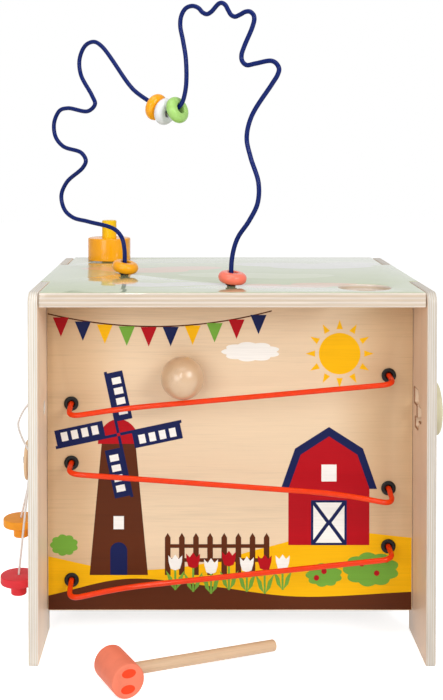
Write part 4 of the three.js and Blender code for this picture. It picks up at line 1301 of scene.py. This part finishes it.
def make_drum():
    centre = middle("turning_drum")
    height = size("turning_drum").z
    radius = size("turning_drum").x / 2
    post_height = size("drum_post").z
    post_radius = size("drum_post").x / 2
    place = at(centre.x, centre.y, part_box("turning_drum")[0].z)
    corners = ring_corners(post_radius + SEAT_GAP, radius, 0, height, *DRUM_EDGES)
    piece = lathe("drum_body", corners, LATHE_SIDES, place)
    dress(piece, "drum", "turning_drum", "orange_paint", painted("drum_paint", DRUM_ORANGE))
    place = at(centre.x, centre.y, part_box("drum_post")[0].z)
    piece = lathe("drum_peg", ring_corners(0, post_radius, 0, post_height, *POST_EDGES), LATHE_SIDES, place)
    dress(piece, "case", "drum_post", "yellow_paint", painted("post_paint", YELLOW, coat=0.1))


# Cord pull and turning disc

# Shares of a bolt head's height: its socket's depth, how far down its dome starts, how far in the dome ends
SOCKET_SHARE = 0.6
DOME_START_SHARE = 0.6
DOME_INSET_SHARE = 0.7
PULLEY = {"radius": 21, "thickness": 14, "groove_half": 3.5, "root": 18.1, "bore": 2.8}
WEIGHT_DISC_RADIUS = 19.3
WEIGHT_DISC_HEIGHT = 8.5
WEIGHT_KNOB_RADIUS = 8.25
WEIGHT_KNOB_HEIGHT = 12
WEIGHT_HOLE_RADIUS = 1.7
WEIGHT_HOLE_SPARE = 0.5
DISC_BORE = 3.3
DISC_EDGES = (1.0, 3.2, 0.6)
SPACER_RADIUS = 10
SPACER_EDGES = (0.4, 0.4)


def hexagon(across_flats):
    reach = across_flats / 2 / cos(pi / 6)
    return oval(0, 0, reach, reach, 6)


def make_bolt(prefix):
    """A dome-headed bolt with a hexagon socket, pointing out of a side panel."""
    sizes = BOLTS[prefix]
    shank, head, dome = sizes["shank"] / 2, sizes["head"] / 2, sizes["head_height"]
    node = prefix + "_bolt"
    length = size(node).x
    centre = middle(node)
    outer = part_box(node)[1 if sizes["side"] > 0 else 0].x
    place = at(outer, centre.y, centre.z, (sizes["side"], 0, 0))
    piece = lathe(prefix + "_dome_bolt", [
        (0, -length, 0), (shank, -length, 0.4), (shank, -dome, 0), (head, -dome, 0.3),
        (head, -dome * DOME_START_SHARE, 0.5), (head - dome * DOME_INSET_SHARE, 0, 0.9), (0, 0, 0),
    ], SMALL_SIDES, place)
    deep = SOCKET_SHARE * dome
    socket_place = place @ at(0, 0, -deep * MM)
    carve(piece, [prism("socket", [hexagon(sizes["socket"])], deep + CUT_PAST, socket_place)])
    dress(piece, "case", node, "steel", steel)


def make_bolt_nut(prefix):
    """The bolt's hexagon nut, inside the case."""
    node = prefix + "_nut"
    height = size(node).x
    centre = middle(prefix + "_bolt")
    place = at(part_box(node)[0].x, centre.y, centre.z, (1, 0, 0))
    piece = prism(prefix + "_hex_nut", [hexagon(size(node).y)], height, place)
    bore = circle(0, 0, BOLTS[prefix]["shank"] + SEAT_GAP)
    bore_place = place @ at(0, 0, -CUT_PAST * MM)
    carve(piece, [prism("bore", [bore], height + 2 * CUT_PAST, bore_place)])
    dress(piece, "case", node, "steel", steel)


def make_pulley():
    half, groove = PULLEY["thickness"] / 2, PULLEY["groove_half"]
    radius, root, bore = PULLEY["radius"], PULLEY["root"], PULLEY["bore"]
    piece = lathe("pulley_disc", [
        (bore, -half, 0), (radius, -half, 1.5), (radius, -groove, 0.8), (root, -groove, 1.2),
        (root, groove, 1.2), (radius, groove, 0.8), (radius, half, 1.5), (bore, half, 0.6), (bore, -half, 0),
    ], LATHE_SIDES, at(*pulley_axis, (-1, 0, 0)))
    dress(piece, "pulley", "pulley_wheel", "bare_wood", wood("pulley_wood", BIRCH, "X", 0.12))
    make_bolt("pulley")
    make_bolt_nut("pulley")


def make_weights():
    disc_under = -WEIGHT_DISC_HEIGHT
    knob_under = disc_under - WEIGHT_KNOB_HEIGHT
    hole_under = -CORD_HOLE_DEPTH - WEIGHT_HOLE_SPARE
    corners = [
        (0, knob_under, 0), (WEIGHT_KNOB_RADIUS, knob_under, 1.2), (WEIGHT_KNOB_RADIUS, disc_under, 0.6),
        (WEIGHT_DISC_RADIUS, disc_under, 1.2), (WEIGHT_DISC_RADIUS, 0, 1.2), (WEIGHT_HOLE_RADIUS, 0, 0.5),
        (WEIGHT_HOLE_RADIUS, hole_under, 0), (0, hole_under, 0),
    ]
    for name, tone in (("red", RED), ("orange", WEIGHT_ORANGE)):
        node = name + "_weight"
        centre = middle(node)
        place = at(centre.x, centre.y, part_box(node)[1].z)
        piece = lathe(name + "_pull_weight", corners, LATHE_SIDES, place)
        paint = painted(node + "_paint", tone, gloss=0.4, coat=0.05)
        dress(piece, name + "_pull", node, name + "_paint", paint)


def make_turn_disc():
    centre = middle("turn_disc")
    place = at(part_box("turn_disc")[0].x, centre.y, centre.z, (1, 0, 0))
    corners = ring_corners(DISC_BORE, size("turn_disc").y / 2, 0, size("turn_disc").x, *DISC_EDGES)
    piece = lathe("turning_disc", corners, LATHE_SIDES, place)
    dress(piece, "disc", "turn_disc", "disc_paint", painted("disc_paint", DISC_GREEN, gloss=0.35, coat=0.1))
    place = at(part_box("turn_disc_spacer")[0].x, centre.y, centre.z, (1, 0, 0))
    corners = ring_corners(DISC_BORE, SPACER_RADIUS, 0, size("turn_disc_spacer").x, *SPACER_EDGES)
    piece = lathe("disc_spacer", corners, SMALL_SIDES, place)
    dress(piece, "case", "turn_disc_spacer", "bare_wood", wood("spacer_wood", BIRCH, "Z"))
    make_bolt("turn_disc")
    make_bolt_nut("turn_disc")


# Hammer

HEAD_RADIUS = 16.5
HEAD_LENGTH = 46.6
HEAD_EDGE = 1.2
HANDLE_RADIUS = 5.8
HANDLE_REACH = 175
HANDLE_SOCKET = 5
HANDLE_EDGE = 2.0
HAMMER_TURN = radians(27)
OVAL_HALVES = (7.2, 4.3)
OVAL_OFFSETS = (-7.5, 7.5)
OVAL_PROUD = 0.1
HAMMER_SHINE = {"gloss": 0.45, "coat": 0.0}


def make_hammer():
    tilt = asin((HEAD_RADIUS - HANDLE_RADIUS) / HANDLE_REACH)
    grip = middle("hammer_head")
    grip.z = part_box("hammer_head")[0].z + HEAD_RADIUS * MM
    hammer = at(*grip) @ Matrix.Rotation(HAMMER_TURN, 4, "Z") @ Matrix.Rotation(tilt, 4, "Y")
    half = HEAD_LENGTH / 2
    piece = lathe("hammer_mallet", ring_corners(0, HEAD_RADIUS, -half, half, HEAD_EDGE, HEAD_EDGE))
    piece.data.transform(hammer @ at(0, 0, 0, (0, -1, 0)))
    paint = painted("head_paint", HEAD_CORAL, **HAMMER_SHINE)
    dress(piece, "hammer", "hammer_head", "head_paint", paint)
    face = hammer @ at(0, -half * MM, 0) @ PLANES["Y"]
    ovals = [oval(0, offset, *OVAL_HALVES) for offset in OVAL_OFFSETS]
    piece = prism("hammer_ovals", ovals, OVAL_PROUD, face)
    dress(piece, "hammer", None, "head_paint", painted("oval_paint", OVAL_RED, **HAMMER_SHINE))
    corners = ring_corners(0, HANDLE_RADIUS, -HANDLE_SOCKET, HANDLE_REACH, 0, HANDLE_EDGE)
    piece = lathe("hammer_stick", corners, SMALL_SIDES, hammer @ at(0, 0, 0, (1, 0, 0)))
    dress(piece, "hammer", "hammer_handle", "bare_wood", wood("handle_wood", HANDLE_WOOD, "Z"))


make_sides()
make_top()
rail_grommets = ["rail_grommet_" + end for end in RAIL_ENDS]
make_cross_panel("ball_run_panel", "run_board", "panel_print", rail_grommets, painted_end_shade)
make_cross_panel("back_panel", "back_board", "bare_wood")
make_panel_print()
make_screws()
make_rails()
make_rail_fittings()
make_ball()
make_wire()
make_beads()
make_drum()
make_pulley()
make_weights()
make_turn_disc()
make_hammer()

# Floor, background and light

FLOOR_REACH = 6.0
FLOOR_TONE = (0.86, 0.86, 0.86, 1.0)
FLOOR_GLOW = 0.74
WORLD_STRENGTH = 0.28
# How far the room's brightness in reflections goes towards full white
MIRRORED_SHARE = 0.85
# Each lamp: its place, what it points at, width, height and power
LAMPS = {
    "softbox_key": ((1.5, -1.9, 1.5), (0, 0, 0.25), 1.2, 1.2, 29),
    "softbox_fill": ((-1.3, -2.2, 0.75), (0, 0, 0.25), 1.2, 1.2, 18),
    "softbox_above": ((-0.2, -0.6, 2.2), (0, 0, 0.3), 1.6, 1.2, 15),
    "softbox_glint": ((-0.35, -2.0, 1.15), (0, 0, 0.4), 0.1, 1.0, 6),
}


def make_floor():
    shape = bmesh.new()
    bmesh.ops.create_grid(shape, x_segments=1, y_segments=1, size=FLOOR_REACH)
    floor = link_piece("floor", shape)
    surface = Surface("floor_white", 0.9)
    surface.feed(surface.shader, {"Base Color": FLOOR_TONE})
    rays = surface.node("LightPath")
    seen = surface.maths("MAXIMUM", rays["Is Camera Ray"], rays["Is Glossy Ray"])
    seen = surface.maths("MAXIMUM", seen, rays["Is Transmission Ray"])
    plain = surface.shader.outputs["BSDF"]
    glow = surface.node("Emission", {"Strength": FLOOR_GLOW})["Emission"]
    lit = surface.node("AddShader", {0: plain, 1: glow})["Shader"]
    choice = surface.node("MixShader", {0: seen, 1: plain, 2: lit})["Shader"]
    surface.feed(surface.tree.nodes["Material Output"], {"Surface": choice})
    floor.data.materials.append(surface.material)


def make_world():
    world = bpy.data.worlds.new("white_room")
    scene.world = world
    world.use_nodes = True
    nodes = Nodes(world.node_tree)
    rays = nodes.node("LightPath")
    seen = nodes.maths("MAXIMUM", rays["Is Camera Ray"], rays["Is Transmission Ray"])
    mirrored = nodes.maths("MULTIPLY", rays["Is Glossy Ray"], MIRRORED_SHARE)
    strength = nodes.spread(nodes.maths("MAXIMUM", seen, mirrored), WORLD_STRENGTH, 1.0)
    nodes.feed(nodes.tree.nodes["Background"], {"Color": (1, 1, 1, 1), "Strength": strength})


def softbox(name, place, target, width, height, power):
    lamp = bpy.data.lights.new(name, "AREA")
    lamp.shape = "RECTANGLE"
    lamp.size = width
    lamp.size_y = height
    lamp.energy = power
    box = link(name, lamp)
    box.location = place
    box.rotation_euler = (Vector(target) - Vector(place)).to_track_quat("-Z", "Y").to_euler()


make_floor()
make_world()
for lamp_name, lamp_settings in LAMPS.items():
    softbox(lamp_name, *lamp_settings)

scene.view_settings.view_transform = "Standard"
